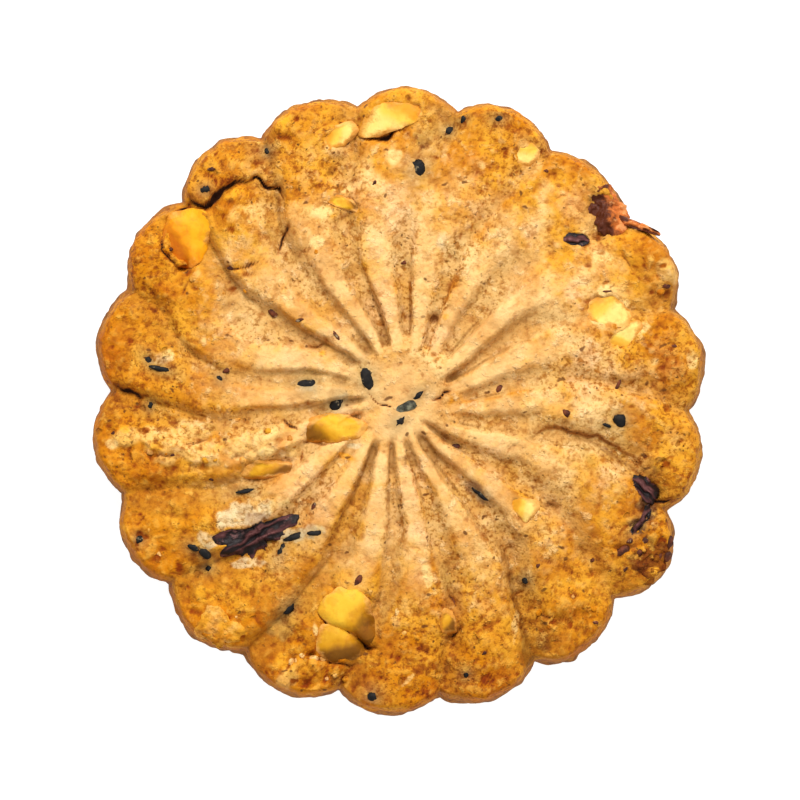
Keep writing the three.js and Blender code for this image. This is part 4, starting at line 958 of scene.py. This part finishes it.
# A piece set into the dough: rings from its crown out to its outline, where it meets the dough, then
# down to a keel. The top falls from crown to brink with a power of the ring. A nut has one facet, and
# fruit folds: sine waves across its grain, pushed about by noise.
def makeInset(name, inset, finish, low=None, high=insetForm["top"], replaced=()):
    turns, melt = np.linspace(0, 2 * np.pi, insetForm["sides"], endpoint=False), inset.get("melt", 0)
    middle, reach = outlineReach(inset["corners"], turns)
    ragged = crumbNoise(5 * np.cos(turns) + middle[0], 5 * np.sin(turns) + middle[1], 1.6, 3, 79)
    reach = reach * (1 + inset.get("ragged", 0.04) * ragged)
    rim = middle[0] + reach * np.cos(turns), middle[1] + reach * np.sin(turns)
    brim = bakedHeight(*rim) - inset.get("brim", insetForm["brim"])
    seat = np.maximum(bakedHeight(*(np.array([part]) for part in middle)), brim.mean())
    low = seat[0] - insetForm["keel"] if low is None else low
    ring = np.linspace(0, 1, insetForm["rows"] + 1)[1:, None]
    dx, dy = ring * reach * np.cos(turns), ring * reach * np.sin(turns)
    z = blendOf(np.minimum(high - 0.1, seat + inset["proud"]), brim, ring**4)
    way = math.radians(inset.get("deep", inset.get("grain", 0)))
    along, across = dx * math.cos(way) + dy * math.sin(way), dy * math.cos(way) - dx * math.sin(way)
    if "deep" in inset:
        # Flesh deepens towards the side that falls away: partly its own colour, partly painted shade.
        toneAndShade = smoothRise(along / reach.mean(), -0.5, 0.75) + inset.get("ripe", 0)
        z = z - insetForm["facetSlope"] * np.maximum(0, along - 0.25 * reach.mean())
    else:
        # Folds: the tone is dark in them and light on their crests, painted shade and highlight.
        wander = crumbNoise(along + 30, 2 * across + 30, 2.4, 3, 83)
        toneAndShade = 0.5 + 0.5 * np.sin(2 * np.pi * across / insetForm["foldSpacing"] + 4 * wander)
        z = z + insetForm["foldDepth"] * (toneAndShade - 1) * (1 - ring**2)
    x, y = dx + middle[0], dy + middle[1]
    z = z + 0.06 * crumbNoise(x, y, 1.4, 3, 71) + inset.get("rough", 0) * flakeNoise(x, y, 1.6, 2, 73)
    keel = np.array([[0.97, 0.3], [0.8, 0.7], [0.5, 0.95]])[:, :, None]
    inward = keel[:, 0] * reach
    skirt = [inward * np.cos(turns), inward * np.sin(turns), blendOf(brim, low, keel[:, 1])]
    rows = np.concatenate([np.stack([dx, dy, np.minimum(z, high)], -1), np.stack(skirt, -1)]).reshape(-1, 3)
    points = np.concatenate([rows, [[0, 0, z[0].mean()], [0, 0, low]]]) + [*middle, 0]
    print(name, "stands proud by", round(float(z.max() - seat[0]), 2))
    deep = np.broadcast_to(toneAndShade[-1:], (3, len(turns)))
    fields = {
        "toneAndShade": np.concatenate([toneAndShade.ravel(), deep.ravel(), [toneAndShade[0].mean(), 1]]),
        "brink": np.concatenate([(ring + melt + 0 * turns).ravel(), np.ones(3 * len(turns)), [melt, 1]]),
        "cream": inset.get("cream", 0.3) * np.ones(len(points)),
        "toast": inset.get("toast", 0.6) * np.ones(len(points)),
        "umberAndShade": inset.get("umberAndShade", 0) * np.ones(len(points)),
    }
    faces = shellFaces(insetForm["rows"] + 3, insetForm["sides"])
    makePiece(name, points, faces, finish, fields, replaced)


# Seed hull or skin: one colour family, mottled, with worn spots that are partly painted glints, and a soft
# gloss.
def hullFinish(name, dark, light):
    finish, wire = newFinish(name)
    mottle = wire.cloud(0.5, 3.0, 0.6)
    colour = mottle.rise(0.4, 0.75).mix(dark, light)
    wornAndGlints = wire.cloud(0.6, 4.0, 0.7).rise(0.6, 0.68)
    colour = (0.7 * wornAndGlints).mix(colour, paint(170, 150, 112))
    look = {"Base Color": colour, "Roughness": 0.55 + 0.25 * mottle, "Specular IOR Level": 0.25}
    endFinish(wire, look, 0.14 * mottle)
    return finish


# Drops of one kind in one mesh: each narrows to one end, is pushed in and out at random, and lies on
# the face at its place, sunk in all but its back.
def makeDrops(name, places, finish, seed, fields=None):
    spot = np.array(places, float)
    rows, sides = sprinkleForm["rows"], sprinkleForm["sides"]
    climb = np.linspace(0, np.pi, rows + 2)[1:-1, None]
    around = np.linspace(0, 2 * np.pi, sides, endpoint=False)
    girth = np.sin(climb) * (1 + 0.25 * np.cos(climb))
    drop = np.stack([np.cos(climb) + 0 * around, girth * np.cos(around), girth * np.sin(around)], -1)
    drop = np.concatenate([drop.reshape(-1, 3), [[1, 0, 0], [-1, 0, 0]]]) / 2
    own = 11.0 * np.arange(len(spot))[:, None]
    dents = crumbNoise(2 * drop[:, 0] + own, drop[:, 1] + 2 * drop[:, 2] + own, 0.8, 2, seed)
    push = 1 + sprinkleForm["dents"] * dents[..., None]
    tall = np.minimum(sprinkleForm["height"], sprinkleForm["flat"] * spot[:, 3])
    body = drop[None] * push * np.stack([spot[:, 2], spot[:, 3], tall], -1)[:, None]
    way = np.radians(spot[:, 4])[:, None]
    x = spot[:, :1] + body[..., 0] * np.cos(way) - body[..., 1] * np.sin(way)
    y = spot[:, 1:2] + body[..., 0] * np.sin(way) + body[..., 1] * np.cos(way)
    proud = np.minimum(sprinkleForm["proud"], sprinkleForm["show"] * tall)
    seat = faceHeight(spot[:, 0], spot[:, 1]) + proud - tall / 2
    points = np.stack([x, y, body[..., 2] + seat[:, None]], -1).reshape(-1, 3)
    step = np.arange(len(spot))[:, None, None] * len(drop)
    faces = [(group[None] + step).reshape(-1, group.shape[1]) for group in shellFaces(rows, sides)]
    each = {field: np.repeat(values, len(drop)) for field, values in (fields or {}).items()}
    makePiece(name, points, faces, finish, each)


# Loose crumbs of dough: drawn evenly over the torn patches, more where a patch is larger.
crumbForm = {"number": 90, "size": (0.5, 1.1), "slim": (0.5, 0.9), "seed": 7}


def makeCrumbs(finish):
    draw = np.random.default_rng(crumbForm["seed"])
    patch = np.array(relief["torn"])
    weight = patch[:, 2] * patch[:, 3] * patch[:, 5]
    chosen = patch[draw.choice(len(patch), crumbForm["number"], p=weight / weight.sum())]
    reach, turn = np.sqrt(draw.uniform(0, 1, len(chosen))) / 2, draw.uniform(0, 2 * np.pi, len(chosen))
    along, across = chosen[:, 2] * reach * np.cos(turn), chosen[:, 3] * reach * np.sin(turn)
    way = np.radians(chosen[:, 4])
    x = chosen[:, 0] + along * np.cos(way) - across * np.sin(way)
    y = chosen[:, 1] + along * np.sin(way) + across * np.cos(way)
    length = draw.uniform(*crumbForm["size"], len(x)) ** 1.5
    width = length * draw.uniform(*crumbForm["slim"], len(x))
    inside = np.hypot(x / oval, y) < faceRadius - 1
    places = np.stack([x, y, length, width, draw.uniform(0, 360, len(x))], -1)[inside]
    fields = {"toast": draw.uniform(0.1, 1.0, len(places)), "cream": draw.uniform(0, 0.8, len(places)) ** 2}
    makeDrops("looseCrumbs", places, finish, crumbForm["seed"], fields)


# Floor, light and camera. The camera looks almost straight down, as the picture was taken.
stage = {
    "floorSide": 3000,
    "floorGlow": 0.9,  # keeps the floor near white
    "viewWidth": 88.9,  # across the picture, at the face
    "viewMiddle": (0.17, 0.02),
    "elevation": 89.3,
    "lens": 500,
    "sensor": 36,
    "ambient": 0.52,
    "key": {"place": (0, 420, 450), "size": 300, "power": 4.2},
    "fill": {"place": (300, -200, 500), "size": 500, "power": 0.6},
}


def makeStage():
    finish, wire = newFinish("paleFloor")
    colour = wire.cloud(400, 2.0).mix(paint(150, 150, 150), paint(154, 154, 154))
    look = {"Base Color": colour, "Roughness": 0.9, "Emission Color": paint(255, 255, 255)}
    endFinish(wire, {**look, "Emission Strength": stage["floorGlow"]})
    half = stage["floorSide"] / 2 * mm
    mesh = bpy.data.meshes.new("floor")
    corners = np.array([[-1, -1], [1, -1], [1, 1], [-1, 1]]) * half
    mesh.from_pydata(np.column_stack([corners, np.full(4, -0.02 * mm)]).tolist(), [], [(0, 1, 2, 3)])
    mesh.materials.append(finish)
    floor = bpy.data.objects.new("floor", mesh)
    bpy.context.scene.collection.objects.link(floor)
    world = bpy.data.worlds.new("softRoom")
    world.use_nodes = True
    world.node_tree.nodes["Background"].inputs["Color"].default_value = (1, 1, 1, 1)
    world.node_tree.nodes["Background"].inputs["Strength"].default_value = stage["ambient"]
    bpy.context.scene.world = world
    for name in ("key", "fill"):
        data = bpy.data.lights.new(name, "AREA")
        data.energy = stage[name]["power"]
        data.size = stage[name]["size"] * mm
        lamp = bpy.data.objects.new(name, data)
        lamp.location = np.array(stage[name]["place"]) * mm
        lamp.rotation_euler = (-lamp.location).to_track_quat("-Z", "Y").to_euler()
        bpy.context.scene.collection.objects.link(lamp)
    data = bpy.data.cameras.new("camera")
    data.lens = stage["lens"]
    data.sensor_width = stage["sensor"]
    camera = bpy.data.objects.new("camera", data)
    away = stage["viewWidth"] * stage["lens"] / stage["sensor"]
    tilt = math.radians(90 - stage["elevation"])
    middle = np.array([*stage["viewMiddle"], dough["crown"] - 1])
    camera.location = (middle + away * np.array([0, -math.sin(tilt), math.cos(tilt)])) * mm
    camera.rotation_euler = (tilt, 0, 0)
    bpy.context.scene.collection.objects.link(camera)
    bpy.context.scene.camera = camera
    bpy.context.scene.view_settings.view_transform = "Standard"
    print("stage, light and camera are set")


makeStage()
crumb = doughFinish()
makeDough(crumb)
makeCrumbs(crumb)
flesh = {
    "orange": nutFinish("orangeNut", paint(244, 168, 14), paint(232, 146, 2), paint(196, 104, 0)),
    "amber": nutFinish("amberNut", paint(236, 182, 44), paint(206, 142, 8), paint(126, 76, 0)),
    "cream": nutFinish("creamNut", paint(246, 208, 114), paint(240, 188, 66), paint(216, 146, 26)),
    "raisin": skinFinish("raisinSkin", paint(26, 14, 14), paint(84, 44, 42), paint(150, 100, 96)),
    "russet": skinFinish("russetSkin", paint(84, 34, 8), paint(202, 108, 40), paint(242, 172, 104), 2.6),
    "crumb": crumb,
}
for node, inset in insets.items():
    kind, number = node.split("_")
    low, high = (corner[2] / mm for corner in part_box(node))
    makeInset(kind + "Piece" + number, inset, flesh[inset["flesh"]], low, high, (node,))
for name, shred in shreds.items():
    makeInset(name, shred, flesh[shred["flesh"]])
hulls = {
    "black": hullFinish("blackHull", paint(11, 9, 8), paint(34, 29, 24)),
    "grey": hullFinish("greyHull", paint(44, 42, 32), paint(136, 132, 106)),
    "brown": hullFinish("brownHull", paint(64, 28, 14), paint(120, 60, 32)),
}
for seed, (kind, places) in enumerate(sprinkles.items()):
    makeDrops(kind + "Sprinkles", places, hulls[kind], 90 + seed)
